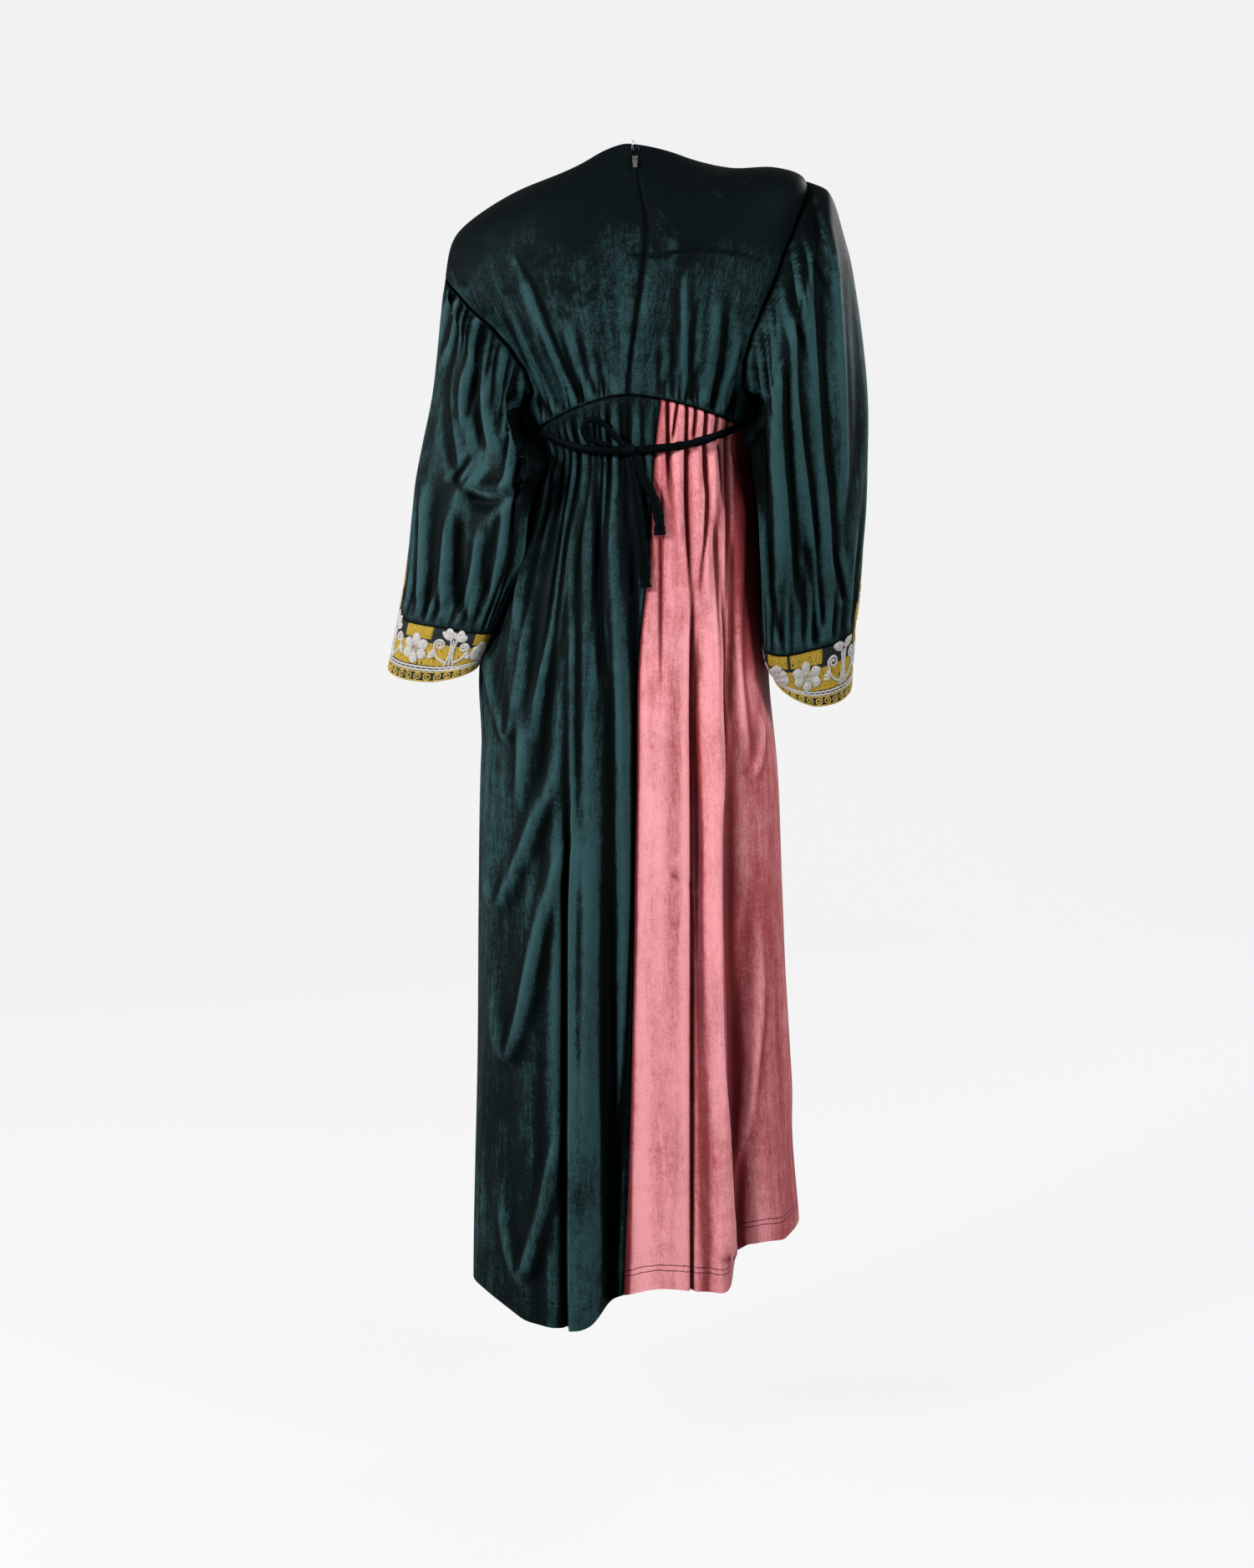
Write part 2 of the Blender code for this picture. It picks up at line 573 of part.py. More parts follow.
def make_sleeve(side, velvet, embroidered):
    columns = GATHERS_SLEEVE * POINTS_PER_GATHER
    angle = 360 * np.arange(columns) / columns
    cuff_start = cuff_line(angle)[None]
    before, after = np.roll(cuff_start, 1), np.roll(cuff_start, -1)
    steep = (after - before) / 2 * ARM_LENGTH / (SLEEVE_RADIUS * math.radians(360 / columns))
    gap = CUFF_GAP / ARM_LENGTH * np.sqrt(1 + steep**2)
    share = SLEEVE_SHARES[:, None]
    along = share * (cuff_start - gap)
    wave = np.cos(np.radians(GATHERS_SLEEVE * angle))[None]
    height = read(SLEEVE_GATHER, "height", along) * wave * (1 - 0.8 * ramp(share, 0.8, 1))
    grid = sleeve_surface(side, columns, along)
    add_wall(f"sleeve_{side}", grid, tube_normals(grid), height, CLOTH, True, velvet)

    down = np.array([0.0, 0.36, CUFF_BAND[0], 0.86, 1.0])[:, None]
    along = cuff_start + (1 - cuff_start) * down
    motifs = CUFF_MOTIFS[1] * (1 + np.cos(np.radians(CUFF_MOTIFS[0] * angle)))[None] * ramp(down, 0, 0.3)
    band = CUFF_BAND[1] * bell(down - CUFF_BAND[0], CUFF_BAND[2])
    raised = motifs * (down < CUFF_BAND[0]) + band
    grid = sleeve_surface(side, columns, along)
    add_wall(f"cuff_{side}", grid, tube_normals(grid), 0 * along, CUFF_CLOTH, True, embroidered, raised)


def ring_faces(rows, sides):
    """Quads between rings of points, one ring after the other."""
    faces = []
    for row in range(rows - 1):
        for column in range(sides):
            beside = (column + 1) % sides
            above, below = row * sides, (row + 1) * sides
            faces.append((above + column, above + beside, below + beside, below + column))
    return faces


def add_strip(name, route, out, width, finish, end_width=None):
    """A flattened tube along a route, with its flat side along the outward directions."""
    corners = np.arange(22.5, 360, 45)
    forward = unit(np.gradient(route, axis=0))
    out = unit(out - forward * (out * forward).sum(axis=1, keepdims=True))
    across = np.cross(forward, out)
    half = np.linspace(width, end_width or width, len(route))[:, None, None] / 2
    flat, deep = rounded(corners, 10 / 3)
    points = (
        route[:, None]
        + across[:, None] * half * flat[None, :, None]
        + out[:, None] * TIE_THICK / 2 * deep[None, :, None]
    )
    sides = len(corners)
    last = (len(route) - 1) * sides
    faces = [tuple(range(sides)), tuple(range(last, last + sides))] + ring_faces(len(route), sides)
    return add_object(name, points.reshape(-1, 3), faces, finish)


def on_skirt(x, z, lift):
    """Points that stand off the skirt's back by the lift, and the way out of the skirt at each."""
    angle = np.linspace(40, 150, 1101)
    found = []
    for across, height in zip(x, z):
        ring = skirt_at(angle, np.full_like(angle, height))
        found.append(np.interp(-across, -ring[:, 0], angle))
    found = np.array(found)
    round_way = skirt_at(found + TURN_STEP, z) - skirt_at(found - TURN_STEP, z)
    out = unit(np.cross(round_way, (0, 0, 1)))
    return skirt_at(found, z) + out * lift, out


def make_tie(finish):
    centres, _ = on_skirt(np.array([KNOT_X]), np.array([KNOT_Z]), KNOT_LIFT)
    add_knot(centres[0], finish)
    reach = KNOT_SIZE[0] / 2 + KNOT_GAP
    angle = np.linspace(*TIE_SPAN, TIE_POINTS)
    z = read(TIE_LINE, "z", angle)
    x = skirt_at(angle, z)[:, 0]
    for name, keep, end in (
        ("tie_left", x > KNOT_X + reach, KNOT_X + reach),
        ("tie_right", x < KNOT_X - reach, KNOT_X - reach),
    ):
        ends = np.append(x[keep], end) if name == "tie_left" else np.insert(x[keep], 0, end)
        heights = np.interp(-ends, -x, z)
        route, out = on_skirt(ends, heights, TIE_LIFTS[name])
        add_strip(name, route, out, TIE_WIDTH, finish)
    for name, points, lift, width, end_width in (
        ("tie_loop", LOOP_ROUTE, LOOP_LIFT, LOOP_WIDTH, LOOP_WIDTH),
        ("tie_tail_short", SHORT_TAIL, TAIL_LIFT, TIE_WIDTH, SHORT_TAIL_END),
        ("tie_tail_long", LONG_TAIL, TAIL_LIFT, TIE_WIDTH, LONG_TAIL_END),
    ):
        points = np.array(points)
        knots = np.arange(len(points), dtype=float)
        line = curve(np.linspace(0, knots[-1], 2 * len(points)), knots, points)
        route, out = on_skirt(line[:, 0], line[:, 1], lift)
        if name == "tie_tail_long":
            route = route + out * np.linspace(CROSSING_LIFT, 0, len(route))[:, None]
        add_strip(name, route, out, width, finish, end_width)


def add_knot(centre, finish):
    """The knot is a flattened ball with a waist where the tie crosses itself."""
    lift = np.radians(np.linspace(-90, 90, KNOT_RINGS + 2)[1:-1])[:, None]
    turn = np.radians(360 / KNOT_SIDES * np.arange(KNOT_SIDES))[None]
    wide = (1 + KNOT_WAIST * np.cos(2 * turn)) / (1 + KNOT_WAIST) * np.cos(lift)
    rings = np.stack([wide * np.cos(turn), wide * np.sin(turn), np.sin(lift) + 0 * turn], -1)
    poles = [(0, 0, -1), (0, 0, 1)]
    points = np.concatenate([rings.reshape(-1, 3), poles]) * np.array(KNOT_SIZE) / 2 + centre
    bottom, top = KNOT_RINGS * KNOT_SIDES, KNOT_RINGS * KNOT_SIDES + 1
    last = (KNOT_RINGS - 1) * KNOT_SIDES
    faces = ring_faces(KNOT_RINGS, KNOT_SIDES)
    for column in range(KNOT_SIDES):
        beside = (column + 1) % KNOT_SIDES
        faces.append((bottom, beside, column))
        faces.append((top, last + column, last + beside))
    add_object("tie_knot", points, faces, finish)


def make_zip_tape(finish):
    zip_angle = np.interp(TAPE_RISES, (0, 1), ZIP_ANGLES)
    angle = spread(zip_angle - TAPE_DEGREES, zip_angle + TAPE_DEGREES, TAPE_COLUMNS)
    rise = np.repeat(TAPE_RISES[:, None], TAPE_COLUMNS, 1)
    grid = bodice_surface(angle, rise)
    out = panel_normals(bodice_surface, angle, rise, -1)
    height = np.minimum(bodice_height(angle, rise), 0) - CLOTH - TAPE_GAP
    add_wall("zip_tape", grid, out, height, TAPE_THICK, False, finish)


def object_from(name, shape, finish):
    mesh = bpy.data.meshes.new(name)
    shape.to_mesh(mesh)
    shape.free()
    mesh.materials.append(finish)
    made = bpy.data.objects.new(name, mesh)
    bpy.context.collection.objects.link(made)
    return made


def block(name, size, centre, finish):
    """A box with its middle at the centre."""
    shape = bmesh.new()
    corners = bmesh.ops.create_cube(shape, size=1.0)["verts"]
    bmesh.ops.scale(shape, vec=size, verts=corners)
    bmesh.ops.translate(shape, vec=centre, verts=corners)
    return object_from(name, shape, finish)


def rod(name, radius, length, sides, finish):
    """A round bar along X."""
    shape = bmesh.new()
    bmesh.ops.create_cone(
        shape, cap_ends=True, cap_tris=False, segments=sides, radius1=radius, radius2=radius, depth=length
    )
    bmesh.ops.rotate(shape, cent=(0, 0, 0), matrix=Matrix.Rotation(math.pi / 2, 3, "Y"), verts=shape.verts)
    return object_from(name, shape, finish)


def join(target, other, operation):
    """Applies a Boolean to the target's own mesh, and removes the other object."""
    change = target.modifiers.new(operation.lower(), "BOOLEAN")
    change.operation = operation
    change.object = other
    graph = bpy.context.evaluated_depsgraph_get()
    result = bpy.data.meshes.new_from_object(target.evaluated_get(graph))
    target.modifiers.clear()
    target.data = result
    bpy.data.objects.remove(other)


def make_slider(metal):
    """The slider on the zip near the neck, and its pull tab on a pin between lugs. +Y is out of the cloth."""
    rise = np.array([SLIDER_RISE, SLIDER_RISE + LEVEL_STEP])
    angle = np.full(2, np.interp(SLIDER_RISE, (0, 1), ZIP_ANGLES))
    here, above = bodice_surface(angle, rise)
    lean = math.atan2(here[1] - above[1], above[2] - here[2])
    frame = bpy.data.objects.new("zip_frame", None)
    bpy.context.collection.objects.link(frame)
    frame.location = here
    frame.rotation_euler = (lean, 0, 0)
    wide, tall, deep = SLIDER_SIZE
    lug_wide, lug_tall, lug_deep = LUG_SIZE
    top = SLIDER_LIFT + deep
    axis = top + PIN_HEIGHT
    slider = block("zip_slider", (wide, deep, tall), (0, SLIDER_LIFT + deep / 2, -SLIDER_DROP), metal)
    for side in (-1, 1):
        centre = (side * LUG_X, top - SINK + lug_deep / 2, 0)
        join(slider, block("lug", (lug_wide, lug_deep, lug_tall), centre, metal), "UNION")
    pin = rod("pin", PIN_RADIUS, 2 * LUG_X, 10, metal)
    pin.location = (0, axis, 0)
    bpy.context.view_layer.update()
    join(slider, pin, "UNION")
    slider.parent = frame

    eye = rod("zip_pull_tab", EYE_RADIUS, EYE_WIDTH, 16, metal)
    neck_top = EYE_HOLE + SINK
    neck_centre = (0, 0, -neck_top - TAB_SHOULDER / 2)
    join(eye, block("neck", (EYE_WIDTH, TAB_THICK, TAB_SHOULDER), neck_centre, metal), "UNION")
    reach = TAB_LENGTH - TAB_SHOULDER
    plate_centre = (0, 0, -TAB_SHOULDER - reach / 2)
    join(eye, block("plate", (TAB_WIDTH, TAB_THICK, reach), plate_centre, metal), "UNION")
    join(eye, rod("hole", EYE_HOLE, 3 * EYE_WIDTH, 12, metal), "DIFFERENCE")
    eye.location = (0, axis, 0)
    eye.parent = frame


def main():
    for old in list(bpy.data.objects):
        bpy.data.objects.remove(old)
    green = material("green velvet", VELVET_GREEN, 0.75)
    pink = material("pink velvet", VELVET_PINK, 0.70)
    embroidered = material("embroidered velvet", EMBROIDERY, 0.60)
    metal = material("zip metal", ZIP_METAL, 0.30, 1.0)
    make_bodice(green)
    make_skirt(green, pink)
    for side in ("left", "right"):
        make_sleeve(side, green, embroidered)
    make_tie(green)
    make_zip_tape(material("zip tape", ZIP_TAPE, 0.85))
    make_slider(metal)


main()
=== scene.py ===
import math

import bpy
import numpy as np
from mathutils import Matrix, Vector


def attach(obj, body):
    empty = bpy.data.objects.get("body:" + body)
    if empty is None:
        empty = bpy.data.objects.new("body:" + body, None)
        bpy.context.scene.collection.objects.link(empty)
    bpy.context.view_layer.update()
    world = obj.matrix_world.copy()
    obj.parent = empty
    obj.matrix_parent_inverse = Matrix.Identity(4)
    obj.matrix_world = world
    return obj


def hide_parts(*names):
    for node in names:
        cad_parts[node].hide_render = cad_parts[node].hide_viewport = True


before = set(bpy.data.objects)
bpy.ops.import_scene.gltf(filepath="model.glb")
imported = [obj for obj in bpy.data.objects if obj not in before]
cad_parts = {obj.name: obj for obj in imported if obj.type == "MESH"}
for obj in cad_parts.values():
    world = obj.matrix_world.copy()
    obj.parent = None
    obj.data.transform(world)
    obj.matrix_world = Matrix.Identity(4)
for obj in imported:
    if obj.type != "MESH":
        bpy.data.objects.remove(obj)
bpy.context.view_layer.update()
print("frame loaded")

# The camera stands behind the dress and looks a little down at its middle.
cameraSettings = {
    "distance": 3.125, "tilt": 8.5, "aim": (0.0, 0.0, -0.7025), "lens": 60.0, "sensor": 36.0,
    "farthest": 60.0,
}


def placeCamera(settings):
    tilt, away = math.radians(settings["tilt"]), settings["distance"]
    x, y, z = settings["aim"]
    lens = bpy.data.cameras.new("camera")
    lens.lens = settings["lens"]
    lens.sensor_width = settings["sensor"]
    lens.clip_end = settings["farthest"]
    camera = bpy.data.objects.new("camera", lens)
    bpy.context.scene.collection.objects.link(camera)
    camera.location = (x, y + away * math.cos(tilt), z + away * math.sin(tilt))
    camera.rotation_euler = (math.pi / 2 - tilt, 0, math.pi)
    bpy.context.scene.camera = camera


placeCamera(cameraSettings)
bpy.context.scene.view_settings.view_transform = "Standard"
print("camera placed")

# Sizes that all pieces share, in metres and degrees. Angles run from the wearer's left, 0, by the back, 90.
cloth = {
    "thick": 0.0015, "cuffThick": 0.0020, "waistGap": 0.0011, "cuffGap": 0.0006, "armLength": 0.47,
    "sleeveRadius": 0.055, "sleevePower": 2.1, "seamDegrees": 0.14, "armholeGap": 0.0008,
    "underarm": 0.10, "shoulder": 0.75, "zipAngles": (90.0, 95.0),
}
cuff = {"start": 0.868, "rise": 0.285, "point": 335.0, "pointWidth": 34.0}


def table(names, rows):
    return dict(zip(names, np.array(rows, float).T))


# The bodice's rings by rise: x and z at the sides, y and z behind and in front, and how square the ring is.
bodice = table(
    ("rise", "left x", "left z", "right x", "right z", "back y", "back z", "front y", "front z", "power"),
    [
        (.00, .1190, -.290, -.1470, -.283, .1140, -.2420, -.1240, -.262, 2.2),
        (.10, .1240, -.268, -.1510, -.260, .1140, -.2200, -.1270, -.240, 2.2),
        (.35, .1600, -.200, -.1800, -.180, .1160, -.1650, -.1300, -.175, 2.3),
        (.60, .2000, -.130, -.2040, -.075, .1080, -.1000, -.1160, -.110, 2.4),
        (.75, .2090, -.095, -.2050, .004, .0980, -.0550, -.0980, -.078, 2.4),
        (.82, .1950, -.056, -.1720, .017, .0920, -.0280, -.0900, -.062, 2.3),
        (.90, .1350, -.014, -.1250, .016, .0820, -.0020, -.0840, -.050, 2.2),
        (1.00, .0600, .013, -.0760, .024, .0650, .0385, -.0760, -.034, 2.0),
    ],
)
# The armhole's edge, in degrees from the side seam.
armhole = table(
    ("rise", "left back", "right back", "left front", "right front"),
    [
        (.100, .0, .0, .0, .0),
        (.105, 13.0, 12.0, 11.0, 11.0),
        (.120, 27.0, 25.0, 23.0, 22.0),
        (.160, 37.0, 34.0, 31.0, 30.0),
        (.250, 39.0, 40.0, 35.0, 36.0),
        (.350, 36.5, 40.6, 34.0, 37.0),
        (.450, 31.0, 38.0, 29.0, 35.0),
        (.600, 16.0, 31.0, 17.0, 29.0),
        (.680, 7.5, 22.0, 8.5, 21.0),
        (.750, .0, .0, .0, .0),
    ],
)
# The skirt's half widths by height.
skirt = table(
    ("z", "left", "right", "back", "front", "power"),
    [
        (-.243, .1230, .1490, .1140, .1250, 2.2),
        (-.285, .1180, .1460, .1105, .1220, 2.2),
        (-.304, .1095, .1450, .1080, .1190, 2.2),
        (-.345, .1130, .1530, .1170, .1260, 2.2),
        (-.420, .1300, .1590, .1260, .1310, 2.3),
        (-.500, .1470, .1610, .1310, .1350, 2.3),
        (-.567, .1660, .1640, .1350, .1370, 2.3),
        (-.660, .1736, .1775, .1390, .1380, 2.4),
        (-.820, .1780, .1860, .1430, .1400, 2.4),
        (-1.020, .1807, .1950, .1470, .1420, 2.5),
        (-1.146, .1838, .2022, .1500, .1450, 2.5),
        (-1.250, .1865, .2112, .1530, .1480, 2.5),
        (-1.400, .1885, .2140, .1560, .1510, 2.5),
    ],
)
# The hem's height round the skirt, the back seam between the colours, and the skirt's large folds by angle.
hem = table(
    ("angle", "z"),
    [
        (.0, -1.303), (25.0, -1.299), (50.0, -1.319), (65.0, -1.325), (81.0, -1.319), (86.0, -1.304),
        (92.0, -1.281), (112.0, -1.284), (120.0, -1.282), (128.0, -1.243), (150.0, -1.236), (180.0, -1.236),
        (200.0, -1.256), (235.0, -1.328), (270.0, -1.392), (310.0, -1.374), (340.0, -1.328), (360.0, -1.303),
    ],
)
split = table(
    ("fall", "back", "front"),
    [
        (.00, 103.0, 250.0), (.10, 99.3, 250.0), (.20, 96.0, 250.0), (.28, 93.4, 250.0),
        (.60, 91.2, 250.0), (1.00, 89.5, 250.0),
    ],
)
skirtFolds = table(
    ("top angle", "hem angle", "start", "full", "top height", "hem height", "top width", "hem width"),
    [
        (18.0, 20.0, .20, .45, .000, .006, 9.0, 12.0),
        (42.0, 44.0, .10, .30, .004, -.006, 5.0, 9.0),
        (56.0, 57.0, .10, .40, .004, .006, 4.0, 6.0),
        (68.0, 67.5, .06, .30, .006, .012, 3.5, 4.5),
        (79.0, 80.0, .06, .35, .004, .013, 3.5, 4.5),
        (86.0, 86.5, .20, 1.00, -.002, -.034, 3.0, 3.0),
        (102.0, 99.0, .08, .40, .005, .011, 5.0, 8.0),
        (112.5, 110.5, .15, .45, -.004, -.011, 2.6, 2.6),
        (118.0, 116.0, .10, .40, .005, .012, 4.0, 4.5),
        (129.0, 127.0, .12, .60, -.004, -.027, 4.0, 5.0),
        (146.0, 143.0, .15, .50, .003, .009, 6.0, 9.0),
        (205.0, 205.0, .15, .60, .000, .008, 8.0, 10.0),
        (232.0, 232.0, .15, .60, .003, .010, 7.0, 9.0),
        (262.0, 262.0, .15, .60, .003, .010, 7.0, 9.0),
        (290.0, 290.0, .15, .60, .003, .010, 7.0, 9.0),
        (322.0, 322.0, .15, .60, .003, .010, 7.0, 9.0),
    ],
)
# The sleeves' rings by share of the arm: outer, inner, back and front points.
sleeveColumns = (
    "along", "outer x", "outer z", "inner x", "inner z", "inner y", "back y", "back z", "front y", "front z",
)
sleeveLeft = table(
    sleeveColumns,
    [
        (.07, .214, -.122, .116, -.278, .014, .112, -.2, -.106, -.196),
        (.18, .219, -.172, .114, -.291, .044, .112, -.236, -.104, -.23),
        (.3, .227, -.238, .105, -.3, .09, .104, -.27, -.094, -.262),
        (.42, .24, -.3, .096, -.323, .114, .096, -.312, -.082, -.305),
        (.52, .2485, -.342, .1065, -.346, .112, .090, -.346, -.073, -.338),
        (.6, .2525, -.376, .116, -.376, .1, .084, -.374, -.069, -.368),
        (.72, .259, -.43, .123, -.43, .086, .076, -.43, -.066, -.424),
        (.8, .2645, -.468, .137, -.468, .072, .068, -.47, -.062, -.462),
        (.86, .27, -.498, .155, -.512, .062, .06, -.507, -.052, -.494),
        (1.00, .2835, -.562, .1730, -.552, .048, .056, -.574, -.050, -.556),
    ],
)
sleeveRight = table(
    sleeveColumns,
    [
        (.06, -.233, -.01, -.147, -.272, .016, .108, -.14, -.104, -.14),
        (.15, -.253, -.066, -.137, -.284, .058, .112, -.18, -.106, -.176),
        (.24, -.2628, -.11, -.134, -.295, .076, .108, -.208, -.104, -.202),
        (.35, -.2732, -.176, -.141, -.308, .082, .104, -.248, -.099, -.24),
        (.47, -.28, -.252, -.143, -.328, .084, .098, -.294, -.092, -.284),
        (.58, -.28, -.326, -.149, -.364, .084, .094, -.35, -.085, -.336),
        (.7, -.279, -.408, -.153, -.428, .08, .086, -.424, -.075, -.402),
        (.8, -.2755, -.466, -.155, -.484, .07, .076, -.486, -.068, -.456),
        (.88, -.27, -.52, -.159, -.54, .062, .066, -.545, -.056, -.508),
        (1.00, -.2668, -.580, -.1705, -.563, .048, .062, -.602, -.054, -.566),
    ],
)
# The tie's height round the waist, and the routes of its loop and tails as x and z.
tieLine = table(
    ("angle", "z"),
    [
        (30.0, -.282), (42.0, -.287), (55.0, -.297), (66.0, -.302), (90.0, -.304), (112.0, -.299),
        (130.0, -.289), (146.0, -.278), (156.0, -.270),
    ],
)
loopRoute = [
    (.0042, -.2985), (.016, -.285), (.028, -.272), (.040, -.270), (.047, -.279), (.043, -.290),
    (.030, -.2955), (.019, -.2985),
]
shortTail = [
    (-.0080, -.3098), (-.0165, -.332), (-.026, -.349), (-.0325, -.366), (-.0355, -.382),
    (-.0365, -.399),
]
longTail = [
    (-.0010, -.3114), (-.006, -.335), (-.0105, -.365), (-.0145, -.395), (-.0180, -.425),
    (-.0210, -.458),
]

# Fold strokes seen behind: kind, points as x and z, height, width, and the share that each end fades over.
# A lap is a fold with one sharp edge.
skirtStrokes = [
    ("fold", ((-.0750, -.440), (-.0750, -.600), (-.0755, -.800), (-.0760, -1.060), (-.0765, -1.335)),
     -.0080, .0026, .15, .0),
    ("fold", ((-.0465, -.245), (-.0470, -.300), (-.0475, -.322), (-.0490, -.372)), -.0070, .0026, .05, .45),
    ("fold", ((-.0600, -.243), (-.0560, -.262), (-.0515, -.300)), -.0050, .0020, .05, .2),
    ("fold", ((-.0690, -.245), (-.0680, -.300), (-.0675, -.356), (-.0700, -.409), (-.0750, -.500)),
     -.0062, .0021, .05, .3),
    ("fold", ((-.0800, -.248), (-.0755, -.296)), -.0050, .0020, .05, .2),
    ("fold", ((-.0920, -.253), (-.0890, -.300), (-.0900, -.349), (-.0880, -.406), (-.0810, -.482)),
     -.0062, .0022, .05, .3),
    ("fold", ((-.1050, -.259), (-.1000, -.296)), -.0050, .0020, .05, .2),
    ("fold", ((-.1060, -.298), (-.1095, -.331), (-.1120, -.380)), -.0060, .0024, .05, .4),
    ("fold", ((-.1180, -.270), (-.1150, -.297), (-.1165, -.391), (-.1150, -.534)), -.0060, .0026, .05, .3),
    ("fold", ((-.1000, -.377), (-.1030, -.450), (-.1050, -.540), (-.1060, -.700)), -.0050, .0030, .15, .3),
    ("fold", ((-.0570, -.300), (-.0580, -.350), (-.0590, -.430)), .0035, .0050, .1, .4),
    ("fold", ((-.0785, -.300), (-.0790, -.350), (-.0790, -.460)), .0040, .0050, .1, .4),
    ("fold", ((-.0985, -.300), (-.0985, -.350), (-.0950, -.430)), .0035, .0045, .1, .4),
    ("fold", ((-.0480, -.785), (-.0620, -.795), (-.0790, -.806)), -.0016, .0045, .2, .2),
    ("fold", ((.094, -.401), (.113, -.431), (.137, -.468), (.149, -.507), (.151, -.547), (.147, -.600),
     (.140, -.630), (.131, -.622), (.126, -.585), (.124, -.540), (.124, -.498)), .006, .007, .15, .25),
    ("fold", ((.075, -.628), (.091, -.696), (.111, -.745), (.131, -.795), (.147, -.828), (.156, -.826),
     (.164, -.790), (.168, -.740)), .007, .009, .2, .3),
    ("fold", ((.063, -.743), (.087, -.802), (.107, -.892), (.122, -.958), (.133, -.996), (.142, -1.006),
     (.150, -.985), (.156, -.930), (.162, -.850)), .0085, .009, .2, .3),
    ("fold", ((.067, -1.062), (.081, -1.113), (.098, -1.189), (.110, -1.238), (.121, -1.262), (.131, -1.262),
     (.140, -1.235), (.150, -1.174), (.160, -1.102)), .0085, .009, .2, .3),
    ("fold", ((-.039, -.335), (-.0385, -.450), (-.038, -.620)), -.003, .0022, .15, .4),
    ("fold", ((.075, -.311), (.088, -.344), (.097, -.391), (.109, -.456), (.112, -.500), (.117, -.586),
     (.121, -.674), (.133, -.726)), .0075, .008, .1, .25),
    ("fold", ((.082, -.311), (.099, -.350), (.110, -.402), (.124, -.460), (.140, -.519),
     (.148, -.557)), -.005, .007, .15, .3),
    ("fold", ((.059, -.325), (.065, -.411), (.077, -.498), (.100, -.585), (.116, -.682),
     (.128, -.737)), .006, .008, .15, .25),
    ("fold", ((.057, -.381), (.060, -.456), (.061, -.551), (.062, -.646), (.063, -.749)),
     .004, .004, .3, .05),
    ("lapL", ((.060, -.646), (.063, -.749), (.066, -.840), (.067, -1.037), (.068, -1.237),
     (.067, -1.328)), .011, .03, .3, .0),
    ("fold", ((.036, -.325), (.034, -.409), (.032, -.494), (.029, -.550), (.025, -.588)),
     -.006, .005, .15, .3),
    ("fold", ((.046, -.325), (.046, -.456), (.048, -.598), (.050, -.742)), .004, .008, .2, .5),
    ("fold", ((.018, -.324), (.014, -.437), (.009, -.550), (.006, -.665), (.006, -.748),
     (.005, -.839)), .0055, .006, .2, .4),
    ("fold", ((-.006, -.381), (-.009, -.503), (-.009, -.646), (-.006, -.839), (.002, -1.036),
     (.012, -1.185), (.018, -1.276)), -.008, .006, .2, .0),
    ("fold", ((.041, -.742), (.040, -.839), (.043, -.987), (.047, -1.136)), .005, .009, .3, .4),
    ("fold", ((.173, -.564), (.175, -.760), (.174, -.959), (.176, -1.162)), -.003, .01, .2, .3),
    ("fold", ((-.082, -.457), (-.080, -.584), (-.081, -.671), (-.083, -.749), (-.084, -.890),
     (-.086, -1.038)), -.01, .0055, .2, .4),
    ("fold", ((-.088, -.325), (-.088, -.410), (-.092, -.495)), .004, .005, .2, .4),
    ("lapR", ((-.103, -.401), (-.108, -.499), (-.109, -.586), (-.110, -.672), (-.106, -.751),
     (-.108, -.916), (-.112, -1.020), (-.119, -1.091), (-.126, -1.181), (-.132, -1.242)),
     .012, .02, .2, .0),
    ("fold", ((-.121, -.382), (-.122, -.458), (-.120, -.554), (-.120, -.630)), -.006, .004, .3, .3),
    ("fold", ((-.130, -.326), (-.131, -.402), (-.127, -.459), (-.125, -.543), (-.130, -.608),
     (-.139, -.678)), .006, .006, .15, .2),
    ("fold", ((-.157, -.597), (-.151, -.655), (-.141, -.682)), .005, .006, .3, .15),
    ("fold", ((-.151, -.799), (-.152, -.947), (-.147, -1.025), (-.137, -1.143), (-.130, -1.222)),
     .005, .005, .3, .1),
    ("fold", ((-.141, -.787), (-.139, -.925), (-.133, -1.043)), -.004, .007, .3, .3),
    ("fold", ((-.161, -.811), (-.178, -.905), (-.190, -1.041), (-.198, -1.146)), .004, .007, .3, .3),
    ("fold", ((-.038, -.513), (-.037, -.646), (-.037, -.839), (-.035, -1.036)), .0025, .01, .3, .4),
]
